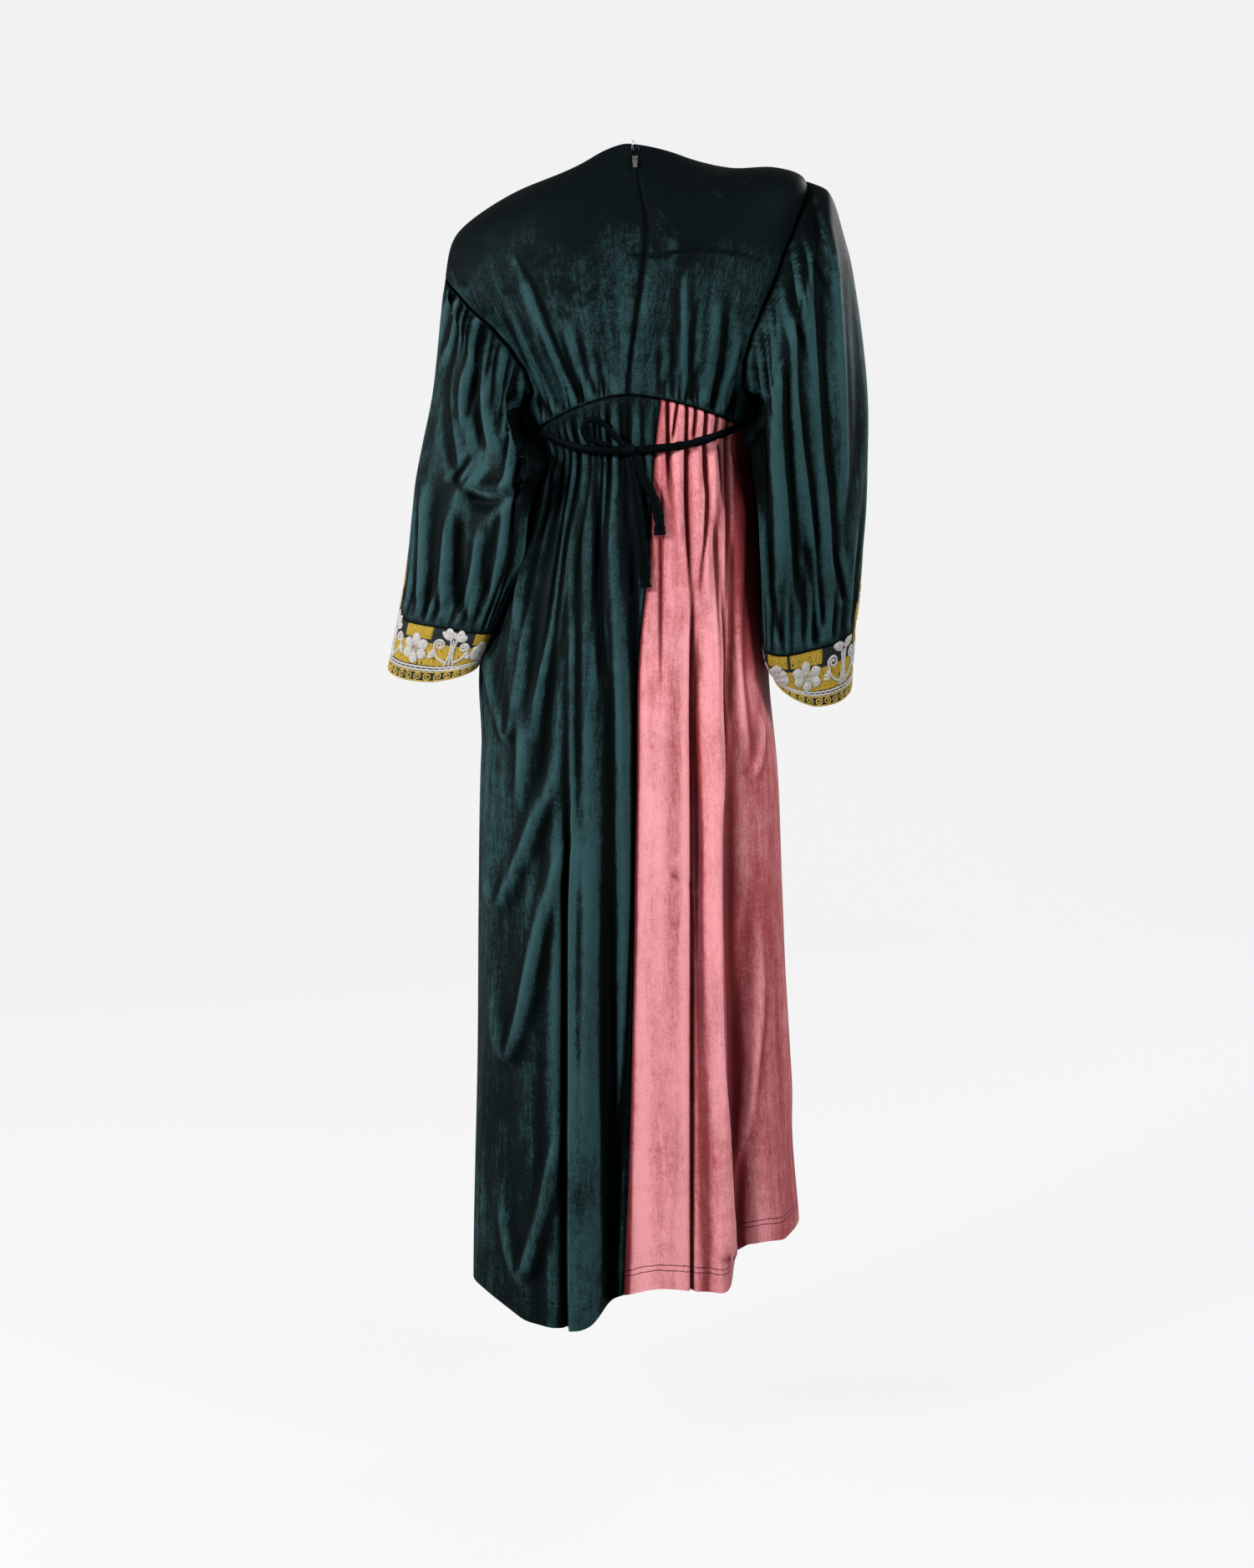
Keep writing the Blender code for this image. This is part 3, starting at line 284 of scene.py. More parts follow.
bodiceStrokes = [
    ("lapR", ((.130, -.074), (.124, -.091), (.108, -.124), (.085, -.184), (.066, -.231),
     (.052, -.265)), .006, .014, .6, .0),
    ("fold", ((.115, -.119), (.090, -.193), (.070, -.245), (.059, -.268)), -.0045, .004, .3, .0),
    ("fold", ((.137, -.137), (.109, -.203), (.088, -.250), (.070, -.276)), .0035, .005, .3, .0),
    ("fold", ((.144, -.142), (.119, -.207), (.095, -.254), (.078, -.280)), -.0035, .0035, .3, .0),
    ("fold", ((.157, -.155), (.132, -.212), (.105, -.259), (.086, -.286)), .003, .004, .3, .0),
    ("fold", ((.165, -.160), (.142, -.212), (.114, -.264), (.094, -.289)), -.003, .0035, .3, .0),
    ("fold", ((.121, -.110), (.098, -.170), (.078, -.226), (.063, -.268)), .003, .004, .3, .0),
    ("fold", ((.080, -.156), (.064, -.212), (.046, -.256)), -.0035, .0045, .4, .0),
    ("fold", ((.070, -.147), (.057, -.203), (.040, -.253)), .0025, .006, .4, .0),
    ("fold", ((.056, -.161), (.047, -.212), (.032, -.251)), -.003, .0045, .4, .0),
    ("fold", ((.036, -.189), (.028, -.222), (.022, -.248)), -.0025, .0035, .4, .0),
    ("fold", ((.012, -.203), (.011, -.222), (.009, -.244)), -.0025, .0035, .4, .0),
    ("fold", ((-.017, -.198), (-.017, -.222), (-.017, -.245)), -.0025, .0035, .4, .0),
    ("fold", ((-.034, -.171), (-.035, -.203), (-.035, -.242)), -.003, .0035, .4, .0),
    ("fold", ((-.050, -.157), (-.051, -.203), (-.050, -.245)), -.0025, .0035, .4, .0),
    ("fold", ((-.064, -.087), (-.064, -.157), (-.063, -.240)), .004, .0035, .35, .0),
    ("fold", ((-.078, -.124), (-.074, -.184), (-.072, -.248)), -.0035, .0045, .4, .0),
    ("fold", ((-.102, -.110), (-.096, -.184), (-.088, -.251)), .005, .007, .35, .0),
    ("fold", ((-.115, -.128), (-.108, -.203), (-.097, -.257)), -.005, .005, .35, .0),
    ("fold", ((-.128, -.147), (-.120, -.212), (-.107, -.263)), .0035, .005, .35, .0),
    ("fold", ((-.139, -.165), (-.130, -.221), (-.116, -.268)), -.004, .0045, .35, .0),
    ("fold", ((.000, -.087), (-.033, -.088), (-.056, -.084), (-.085, -.081), (-.127, -.086),
     (-.163, -.095)), -.0024, .0018, .05, .15),
    ("fold", ((.005, -.083), (.033, -.081), (.061, -.085)), -.0007, .0016, .1, .3),
    ("fold", ((-.019, -.027), (-.047, -.055), (-.075, -.082)), .002, .02, .3, .4),
]
leftStrokes = [
    ("fold", ((.201, -.342), (.190, -.326), (.171, -.305)), -.005, .004, .1, .5),
    ("fold", ((.189, -.352), (.168, -.335), (.152, -.314)), .004, .006, .2, .5),
    ("fold", ((.194, -.356), (.164, -.364), (.130, -.354), (.106, -.337)), -.01, .01, .2, .2),
    ("fold", ((.183, -.337), (.154, -.348), (.125, -.343), (.104, -.328)), .007, .009, .2, .2),
    ("fold", ((.204, -.193), (.209, -.250), (.204, -.307), (.194, -.345)), -.004, .006, .3, .3),
    ("fold", ((.181, -.193), (.186, -.250), (.182, -.297)), .004, .006, .3, .4),
    ("fold", ((.159, -.212), (.157, -.269), (.146, -.314)), .004, .007, .3, .3),
    ("fold", ((.170, -.221), (.168, -.269), (.161, -.311)), -.004, .005, .3, .3),
    ("fold", ((.137, -.212), (.127, -.269), (.115, -.311)), -.004, .005, .3, .3),
    ("fold", ((.201, -.364), (.209, -.421), (.213, -.489)), .0045, .007, .3, .1),
    ("fold", ((.190, -.373), (.194, -.431), (.196, -.494)), -.0045, .006, .3, .1),
    ("fold", ((.168, -.383), (.174, -.441), (.182, -.501)), .004, .006, .3, .1),
    ("fold", ((.228, -.326), (.236, -.402), (.242, -.487)), .0045, .008, .3, .1),
    ("fold", ((.243, -.364), (.250, -.441), (.254, -.487)), -.0035, .006, .3, .1),
    ("fold", ((.144, -.364), (.154, -.421), (.167, -.489)), -.005, .007, .2, .2),
]
rightStrokes = [
    ("lapR", ((-.200, -.035), (-.194, -.109), (-.190, -.193), (-.195, -.268), (-.209, -.363),
     (-.219, -.459), (-.227, -.522)), .0045, .01, .3, .1),
    ("fold", ((-.215, -.045), (-.217, -.119), (-.222, -.212), (-.229, -.306), (-.240, -.401),
     (-.245, -.488)), -.005, .006, .2, .2),
    ("fold", ((-.226, -.026), (-.236, -.119), (-.245, -.231), (-.250, -.325), (-.249, -.401)),
     .005, .007, .2, .3),
    ("fold", ((-.175, -.109), (-.169, -.203), (-.167, -.287), (-.172, -.382), (-.175, -.478)),
     .0045, .007, .2, .2),
    ("fold", ((-.184, -.156), (-.181, -.231), (-.185, -.325), (-.194, -.421), (-.202, -.497)),
     -.005, .005, .25, .2),
    ("fold", ((-.161, -.193), (-.157, -.287), (-.159, -.382), (-.164, -.478)), -.003, .005, .3, .2),
    ("fold", ((-.255, -.081), (-.266, -.193), (-.269, -.287), (-.264, -.363)), -.0035, .007, .3, .3),
    ("fold", ((-.207, -.401), (-.215, -.459), (-.219, -.526)), -.005, .004, .3, .0),
    ("fold", ((-.240, -.411), (-.250, -.449), (-.258, -.483)), -.005, .004, .3, .1),
    ("fold", ((-.168, -.459), (-.172, -.502), (-.183, -.531)), -.004, .006, .3, .2),
]


def curve(at, knots, values):
    # a cubic between each two knots, whose slope at a knot is the mean of the chords beside it
    values = np.asarray(values, float)
    steps = np.diff(knots)
    chords = np.diff(values, axis=0) / steps.reshape(-1, *[1] * (values.ndim - 1))
    slopes = np.concatenate([chords[:1], (chords[1:] + chords[:-1]) / 2, chords[-1:]])
    at = np.clip(at, knots[0], knots[-1])
    low = np.clip(np.searchsorted(knots, at, side="right") - 1, 0, len(knots) - 2)
    wide = at.shape + (1,) * (values.ndim - 1)
    step = steps[low].reshape(wide)
    t = ((at - knots[low]) / steps[low]).reshape(wide)
    return (
        values[low] * (1 + 2 * t) * (1 - t) ** 2
        + values[low + 1] * t**2 * (3 - 2 * t)
        + step * (slopes[low] * t * (1 - t) ** 2 - slopes[low + 1] * t**2 * (1 - t))
    )


def read(source, name, at):
    # a table's column at the given places of its first column, as a curve through the rows
    knots = source[next(iter(source))]
    order = np.argsort(knots)
    return curve(np.asarray(at, float), knots[order], source[name][order])


def ramp(at, start, full):
    # 0 at the start, 1 at full, a smooth step between
    t = np.clip((at - start) / (full - start), 0, 1)
    return t * t * (3 - 2 * t)


def bell(distance, width):
    # 1 at no distance, falling as the exponential of minus its square over the width's square
    return np.exp(-((distance / width) ** 2))


def unit(direction):
    return direction / np.maximum(np.linalg.norm(direction, axis=-1, keepdims=True), 1e-9)


def rounded(angle, power):
    # cosine and sine to the power 2 / power, signs kept: a rounded rectangle
    c, s = np.cos(np.radians(angle)), np.sin(np.radians(angle))
    return np.sign(c) * np.abs(c) ** (2 / power), np.sign(s) * np.abs(s) ** (2 / power)


def bodiceSurface(angle, rise):
    # rounded rings from the waist seam, 0, to the neck, 1
    # each ring's height changes between its sides and its middle
    c, s = rounded(angle, read(bodice, "power", rise))
    left, back = c > 0, s > 0
    x = np.where(left, read(bodice, "left x", rise), read(bodice, "right x", rise)) * np.abs(c)
    y = np.where(back, read(bodice, "back y", rise), read(bodice, "front y", rise)) * np.abs(s)
    sideZ = np.where(left, read(bodice, "left z", rise), read(bodice, "right z", rise))
    middleZ = np.where(back, read(bodice, "back z", rise), read(bodice, "front z", rise))
    share = np.abs(np.cos(np.radians(angle))) ** 1.5
    return np.stack([x, y, sideZ * share + middleZ * (1 - share)], -1)


def skirtAt(angle, z):
    # rounded rings whose half widths are read by height
    sizes = {name: curve(-z, -skirt["z"], column) for name, column in skirt.items()}
    c, s = rounded(angle, sizes["power"])
    x = np.where(c > 0, sizes["left"], sizes["right"]) * c
    y = np.where(s > 0, sizes["back"], sizes["front"]) * s
    return np.stack([x, y, z], -1)


def skirtSurface(angle, fall):
    # the rings from the waist seam, 0, to the hem, 1
    top = bodiceSurface(angle, np.zeros_like(angle))[..., 2] - cloth["waistGap"]
    return skirtAt(angle, top + (read(hem, "z", angle % 360) - top) * fall)


def armholeAngle(rise, side, face):
    return np.interp(rise, armhole["rise"], armhole[f"{side} {face}"], left=0.0, right=0.0)


def armholeEdge(side, face, count):
    # one half of the armhole, from the shoulder to the underarm, at even distances
    rise = np.linspace(cloth["shoulder"], cloth["underarm"], 400)
    turn = armholeAngle(rise, side, face) * (1 if face == "back" else -1)
    line = bodiceSurface(turn % 360 if side == "left" else 180 - turn, rise)
    length = pathLength(line)
    even = np.linspace(0, length[-1], count)
    return np.stack([np.interp(even, length, line[:, axis]) for axis in range(3)], -1)


def armholeLoop(side, count):
    # both halves of the armhole, drawn in by the gap and moved out by it
    half = count // 2
    back, front = armholeEdge(side, "back", half + 1), armholeEdge(side, "front", half + 1)
    loop = np.concatenate([back[:-1], front[::-1][:-1]])
    loop += unit(loop.mean(axis=0) - loop) * cloth["armholeGap"]
    loop[:, 0] += cloth["armholeGap"] * (1 if side == "left" else -1)
    return loop


def sleeveSurface(side, columns, along):
    # the armhole's ring, then rings through an outer, a back, an inner and a front point
    # cubics join them down the arm
    rows = sleeveLeft if side == "left" else sleeveRight
    c, s = rounded(360 * np.arange(columns) / columns, cloth["sleevePower"])
    middleX = (rows["outer x"] + rows["inner x"]) / 2
    outer = np.stack([rows["outer x"], 0 * middleX, rows["outer z"]], -1)
    inner = np.stack([rows["inner x"], rows["inner y"], rows["inner z"]], -1)
    back = np.stack([middleX, rows["back y"], rows["back z"]], -1)
    front = np.stack([middleX, rows["front y"], rows["front z"]], -1)
    centre = (outer + inner + back + front) / 4
    rings = centre[:, None]
    for point, share in ((outer, c), (inner, -c), (back, s), (front, -s)):
        rings = rings + (point - centre)[:, None] * np.maximum(share, 0)[None, :, None]
    rings = np.concatenate([armholeLoop(side, columns)[None], rings])
    knots = np.concatenate([[0.0], rows["along"]])
    return np.stack([curve(along[:, i], knots, rings[:, i]) for i in range(columns)], 1)


def cuffLine(angle):
    # where the cuff starts down the arm: level behind, with a rounded point on the outer front
    fromPoint = np.abs((angle - cuff["point"] + 180) % 360 - 180)
    return cuff["start"] - cuff["rise"] * np.exp(-((fromPoint / cuff["pointWidth"]) ** 3))


def tubeNormals(grid):
    # the ways out of a closed tube, from the cross product of its two directions
    across = np.roll(grid, -1, axis=1) - np.roll(grid, 1, axis=1)
    direction = unit(np.cross(np.gradient(grid, axis=0), across))
    outwards = (direction * (grid - grid.mean(axis=1, keepdims=True))).sum() > 0
    return direction if outwards else -direction


turnStep, levelStep = 0.6, 0.004


def panelNormals(surface, angle, level, seamRow):
    # across the surface's two slopes, and level at the waist seam
    across = surface(angle + turnStep, level) - surface(angle - turnStep, level)
    below, above = np.maximum(level - levelStep, 0), np.minimum(level + levelStep, 1)
    along = surface(angle, above) - surface(angle, below)
    direction = np.cross(along, across)
    grid = surface(angle, level)
    if (direction * (grid - grid.mean(axis=(0, 1)))).sum() < 0:
        direction = -direction
    direction[seamRow, :, 2] = 0
    return unit(direction)


def lineDistance(x, z, points):
    # distance from a smooth line through the points, and the share along it
    # the distance is more than 0 on the +X side of a falling line
    points = np.array(points)
    count = len(points)
    line = curve(np.linspace(0, count - 1, 5 * count), np.arange(count, dtype=float), points)
    start, step = line[:-1], np.diff(line, axis=0)
    away = np.stack([x, z], -1)[:, None] - start[None]
    share = np.clip((away * step).sum(-1) / (step**2).sum(-1), 0, 1)
    distance = np.linalg.norm(away - share[..., None] * step, axis=-1)
    nearest = distance.argmin(axis=1)
    rows = np.arange(len(x))
    side = np.sign(step[:, 0] * away[..., 1] - step[:, 1] * away[..., 0])[rows, nearest]
    return distance[rows, nearest] * side, (nearest + share[rows, nearest]) / len(step)


foldSettings = {"depth": 1.25, "edge": 0.0016, "under": 0.42, "reach": 3.0}


def foldHeight(grid, folds, mask):
    # each fold is a bell across its line; a lap is a step at the line that sinks back behind its edge
    x, z = grid[..., 0], grid[..., 2]
    height = np.zeros_like(x)
    for kind, points, tall, wide, fadeIn, fadeOut in folds:
        reach = foldSettings["reach"] * wide
        low, high = np.min(points, axis=0) - reach, np.max(points, axis=0) + reach
        near = (x > low[0]) & (x < high[0]) & (z > low[1]) & (z < high[1]) & (mask > 0)
        if not near.any():
            continue
        distance, share = lineDistance(x[near], z[near], points)
        fade = ramp(share, 0, max(fadeIn, 1e-4)) * (1 - ramp(share, 1 - max(fadeOut, 1e-4), 1.0001))
        if kind == "fold":
            shape = bell(distance, wide)
        else:
            into = distance * (1 if kind == "lapR" else -1)
            edge = foldSettings["edge"]
            shape = (0.5 + 0.5 * np.tanh(into / edge)) * bell(np.maximum(into, 0), wide)
            shape = shape - foldSettings["under"] * bell(into + 2.4 * edge, 1.6 * edge)
        height[near] += tall * foldSettings["depth"] * fade * shape
    return height * mask


crestSettings = {"reach": 8, "bodiceReach": 9, "step": 0.0016}


def crestOf(height, reach, closed):
    # how far the cloth stands above its neighbours round about, from -1 in a valley to 1 on a ridge
    columns = np.arange(height.shape[1])
    total = np.zeros_like(height)
    for shift in range(-reach, reach + 1):
        places = columns + shift
        places = places % len(columns) if closed else np.clip(places, 0, len(columns) - 1)
        total += height[:, places]
    return np.tanh((height - total / (2 * reach + 1)) / crestSettings["step"])


def gathers(angle, level, rows):
    # narrow valleys that start at a seam and widen as they fade
    # each has its own place, depth, width and length
    height = np.zeros_like(angle)
    for middle, drift, deep, width, length in rows:
        fade = ramp(level, 0.0, 0.03) * (1 - ramp(level, 0.25 * length, length))
        widened = width * (1 + 1.2 * level / max(length, 0.05))
        offset = (angle - middle - drift * level + 180) % 360 - 180
        height = height - deep * fade * bell(offset, widened)
    return height


def gatherRows(seed, first, last, count, deep, width, length):
    # evenly spaced places, each moved and sized by chance from a fixed seed
    chance = np.random.default_rng(seed)
    places = np.linspace(first, last, count) + chance.uniform(-0.35, 0.35, count) * (last - first) / count
    return np.stack(
        [
            places,
            chance.uniform(-6, 6, count),
            deep * chance.uniform(0.5, 1.3, count),
            width * chance.uniform(0.7, 1.3, count),
            length * chance.uniform(0.35, 1.4, count),
        ],
        -1,
    )


sharpDegrees = 62.0


def makeMesh(name, points, faces, finishes, uv=None, turn=0.0, inner=None, values=None):
    # a mesh whose faces point outwards, smooth but for its edges, with its own map in metres
    # where the map goes round a tube, turn is its length round, and faces that wrap are moved on by it
    points = np.asarray(points, float)
    faces = np.asarray(faces, np.int64)
    corners = points[faces]
    volume = (corners[:, 0] * np.cross(corners[:, 1], corners[:, 2])).sum()
    if faces.shape[1] == 4:
        volume += (corners[:, 0] * np.cross(corners[:, 2], corners[:, 3])).sum()
    if volume < 0:
        faces = faces[:, ::-1]
    mesh = bpy.data.meshes.new(name)
    mesh.from_pydata(points.tolist(), [], faces.tolist())
    for finish in finishes:
        mesh.materials.append(finish)
    if inner is not None:
        mesh.polygons.foreach_set("material_index", inner.astype(np.int32))
    if uv is not None:
        layer = mesh.uv_layers.new(name="cloth")
        flat = np.asarray(uv, float)[faces]
        if turn:
            wraps = flat[..., 0].max(axis=1) - flat[..., 0].min(axis=1) > turn / 2
            flat[wraps, :, 0] += np.where(flat[wraps, :, 0] < turn / 2, turn, 0)
        layer.data.foreach_set("uv", flat.reshape(-1).astype(np.float32))
    for key, value in (values or {}).items():
        layer = mesh.attributes.new(key, "FLOAT", "POINT")
        layer.data.foreach_set("value", np.asarray(value, np.float32).reshape(-1))
    mesh.shade_smooth()
    mesh.set_sharp_from_angle(angle=math.radians(sharpDegrees))
    made = bpy.data.objects.new(name, mesh)
    bpy.context.scene.collection.objects.link(made)
    return made


def wallFaces(rows, columns, closed):
    # quads of the outer grid, of the inner grid after it, and of the borders that join them
    last = columns if closed else columns - 1
    inner = rows * columns
    row, column = np.meshgrid(np.arange(rows - 1), np.arange(last), indexing="ij")
    a = (row * columns + column).ravel()
    b = (row * columns + (column + 1) % columns).ravel()
    c, d = a + columns, b + columns
    outerFaces = np.stack([a, c, d, b], -1)
    innerFaces = np.stack([a, b, d, c], -1) + inner
    top = np.arange(last)
    beside = (top + 1) % columns
    foot = (rows - 1) * columns
    borders = [
        np.stack([top, beside, inner + beside, inner + top], -1),
        np.stack([foot + top, inner + foot + top, inner + foot + beside, foot + beside], -1),
    ]
    if not closed:
        e = np.arange(rows - 1) * columns
        f = e + columns - 1
        borders.append(np.stack([e, inner + e, inner + e + columns, e + columns], -1))
        borders.append(np.stack([f, f + columns, inner + f + columns, inner + f], -1))
    faces = np.concatenate([outerFaces, *borders, innerFaces])
    lining = np.zeros(len(faces), bool)
    lining[-len(innerFaces):] = True
    return faces, lining


def clothWall(name, grid, out, height, thick, closed, finishes, uv, turn=0.0, values=None):
    # the grid moved out by the folds' height, and the same moved in by the thickness
    outer = grid + out * height[..., None]
    inner = grid + out * (height - thick)[..., None]
    faces, lining = wallFaces(*grid.shape[:2], closed)
    points = np.concatenate([outer.reshape(-1, 3), inner.reshape(-1, 3)])
    flat = np.tile(np.stack(uv, -1).reshape(-1, 2), (2, 1))
    doubled = {key: np.tile(np.asarray(value).reshape(-1), 2) for key, value in (values or {}).items()}
    return makeMesh(name, points, faces, finishes, flat, turn, lining, doubled)


def spread(start, end, count):
    # columns between two edges that may change from row to row
    share = np.linspace(0, 1, count)[None]
    return np.asarray(start, float)[:, None] * (1 - share) + np.asarray(end, float)[:, None] * share


def ringFaces(rows, sides):
    # quads between rings, closed round
    row, column = np.meshgrid(np.arange(rows - 1), np.arange(sides), indexing="ij")
    a = (row * sides + column).ravel()
    b = (row * sides + (column + 1) % sides).ravel()
    return np.stack([a, a + sides, b + sides, b], -1)


tubeSettings = {"endShare": 0.05, "mapRound": 0.006}


def tubes(name, paths, finishes):
    # each path carries a flattened ring: its half width lies across the way out, its half thickness along it
    points, faces, uv, base = [], [], [], 0
    for path, out, halfWide, halfThick, sides in paths:
        forward = unit(np.gradient(path, axis=0))
        out = unit(out - forward * (out * forward).sum(axis=1, keepdims=True))
        across = np.cross(forward, out)
        turn = 2 * np.pi * np.arange(sides) / sides
        wide = np.broadcast_to(halfWide, len(path))[:, None, None]
        thick = np.broadcast_to(halfThick, len(path))[:, None, None]
        rings = (
            path[:, None]
            + across[:, None] * wide * np.cos(turn)[None, :, None]
            + out[:, None] * thick * np.sin(turn)[None, :, None]
        )
        small = tubeSettings["endShare"]
        first, last = path[0] + (rings[0] - path[0]) * small, path[-1] + (rings[-1] - path[-1]) * small
        rings = np.concatenate([first[None], rings, last[None]])
        length = pathLength(path)
        length = np.concatenate([[0], length, length[-1:]])
        rows = len(rings)
        faces.append(ringFaces(rows, sides) + base)
        around = np.broadcast_to(np.abs(np.sin(turn / 2))[None] * tubeSettings["mapRound"], (rows, sides))
        uv.append(np.stack([around, np.broadcast_to(length[:, None], (rows, sides))], -1).reshape(-1, 2))
        points.append(rings.reshape(-1, 3))
        base += rows * sides
    return makeMesh(name, np.concatenate(points), np.concatenate(faces), finishes, np.concatenate(uv))


def pathLength(path):
    # metres from the path's start to each of its points
    return np.concatenate([[0], np.cumsum(np.linalg.norm(np.diff(path, axis=0), axis=1))])


def smoothPath(points, count):
    # a smooth line through the points
    points = np.asarray(points, float)
    return curve(np.linspace(0, len(points) - 1, count), np.arange(len(points), dtype=float), points)


def standFor(piece, slot, *nodes):
    # the piece rides on the dress and takes the place of its solids
    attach(piece, "dress")
    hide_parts(*nodes)


class Wire:
    # a socket of a material; sums, products and the like of it add Math nodes
    def __init__(self, paint, socket):
        self.paint, self.socket = paint, socket

    def maths(self, operation, *values):
        return self.paint.node("ShaderNodeMath", {"operation": operation}, dict(enumerate(values)))

    def __add__(self, other):
        return self.maths("ADD", self, other)

    def __radd__(self, other):
        return self.maths("ADD", other, self)

    def __sub__(self, other):
        return self.maths("SUBTRACT", self, other)

    def __rsub__(self, other):
        return self.maths("SUBTRACT", other, self)

    def __mul__(self, other):
        return self.maths("MULTIPLY", self, other)

    def __rmul__(self, other):
        return self.maths("MULTIPLY", other, self)

    def smooth(self, low, high):
        # 0 below low, 1 above high, a smooth step between
        settings = {"interpolation_type": "SMOOTHSTEP"}
        return self.paint.node("ShaderNodeMapRange", settings, {0: self, 1: low, 2: high, 3: 0.0, 4: 1.0})

    def band(self, middle, width):
        # 1 at the middle, down to 0 at the width on both sides
        away = self.maths("ABSOLUTE", self - middle)
        return 1 - away.smooth(0.0, width)

    def sine(self):
        return self.maths("SINE", self)


class Paint:
    # one material's nodes
    def __init__(self, name):
        self.material = bpy.data.materials.new(name)
        self.material.use_nodes = True
        self.tree = self.material.node_tree
        self.tree.nodes.clear()

    def node(self, kind, settings=None, inputs=None, output=0):
        made = self.tree.nodes.new(kind)
        for key, value in (settings or {}).items():
            setattr(made, key, value)
        for key, value in (inputs or {}).items():
            if isinstance(value, Wire):
                self.tree.links.new(value.socket, made.inputs[key])
            else:
                made.inputs[key].default_value = value
        return made if output is None else Wire(self, made.outputs[output])

    def place(self):
        return self.node("ShaderNodeTexCoord", output=3)

    def flat(self):
        return self.node("ShaderNodeUVMap", {"uv_map": "cloth"})

    def stretch(self, vector, scale):
        return self.node("ShaderNodeMapping", {}, {"Vector": vector, "Scale": scale})

    def parts(self, vector):
        split = self.node("ShaderNodeSeparateXYZ", {}, {0: vector}, None)
        return [Wire(self, socket) for socket in split.outputs]

    def noise(self, vector, scale, detail=2.0, rough=0.5, distortion=0.0):
        inputs = {"Vector": vector, "Scale": scale, "Detail": detail}
        inputs.update({"Roughness": rough, "Distortion": distortion})
        return self.node("ShaderNodeTexNoise", {}, inputs)

    def value(self, name):
        return self.node("ShaderNodeAttribute", {"attribute_name": name}, output=2)

    def blend(self, share, first, second):
        first = first if isinstance(first, Wire) else (*first, 1.0)
        second = second if isinstance(second, Wire) else (*second, 1.0)
        return self.node("ShaderNodeMix", {"data_type": "RGBA"}, {0: share, 6: first, 7: second}, 2)

    def bump(self, height, strength, distance):
        return self.node("ShaderNodeBump", {}, {"Height": height, "Strength": strength, "Distance": distance})

    def surface(self, inputs):
        return self.node("ShaderNodeBsdfPrincipled", {}, inputs)

    def done(self, shader):
        self.node("ShaderNodeOutputMaterial", {}, {"Surface": shader}, None)
        return self.material


# Velvet: the pile lies down, dark, or stands up, pale with a sheen; deep is the colour that painted shade
# falls to. The tip colours are linear.
velvetLooks = {
    "green velvet": {
        "deep": (0.0004, 0.0007, 0.0008), "dark": (0.0032, 0.0053, 0.0059), "lit": (0.0245, 0.0630, 0.0680),
        "tint": (0.35, 0.64, 0.66), "lowSheen": 0.09, "highSheen": 0.72, "sheenRough": 0.32, "rough": 0.54,
        "low": 0.22, "high": 1.10, "crest": 0.52, "valley": 0.72, "gloss": 0.05, "yoke": 1.0, "top": 0.0,
        "foot": 0.20, "seamDark": 0.75, "hemDark": 0.25,
    },
    "pink velvet": {
        "deep": (0.0600, 0.0050, 0.0070), "dark": (0.3600, 0.0620, 0.0700), "lit": (0.8600, 0.3450, 0.3750),
        "tint": (1.0, 0.80, 0.82), "lowSheen": 0.10, "highSheen": 0.45, "sheenRough": 0.35, "rough": 0.50,
        "low": -0.22, "high": 1.08, "crest": 0.46, "valley": 0.60, "gloss": 0.22, "yoke": 0.0, "top": 0.34,
        "foot": 0.0, "seamDark": 0.60, "hemDark": 1.0,
    },
}


# What both velvets share: noise scales, how much each lifts the pile, bands in metres, and how much painted
# shade lowers the pile's share and darkens it.
pile = {
    "fine": (420.0, 50.0, 1.0), "broad": (95.0, 7.0, 1.0), "grit": 360.0, "blots": 62.0, "patches": 8.5,
    "nap": 900.0, "fineLift": 0.75, "broadLift": 0.70, "gritLift": 0.85, "blotLift": 0.60, "patchLift": 0.80,
    "level": 1.35, "yokeLow": -0.095, "yokeBlots": 0.16, "yokePatches": 0.26, "yokeSoft": 0.03,
    "seamWide": 0.0028, "hemRows": (0.0235, 0.0300), "hemWide": 0.0013, "hemDrift": 0.004,
    "upper": (-0.56, -0.36), "lower": (-1.15, -0.80), "yokeDown": 0.5, "seamDown": 0.35, "hemDown": 0.45,
    "underDown": 1.1, "hemShade": 0.45, "yokeShade": 0.2, "underShade": 0.85, "seamDull": 0.7,
    "dullGloss": 0.04, "relief": 0.0018,
}


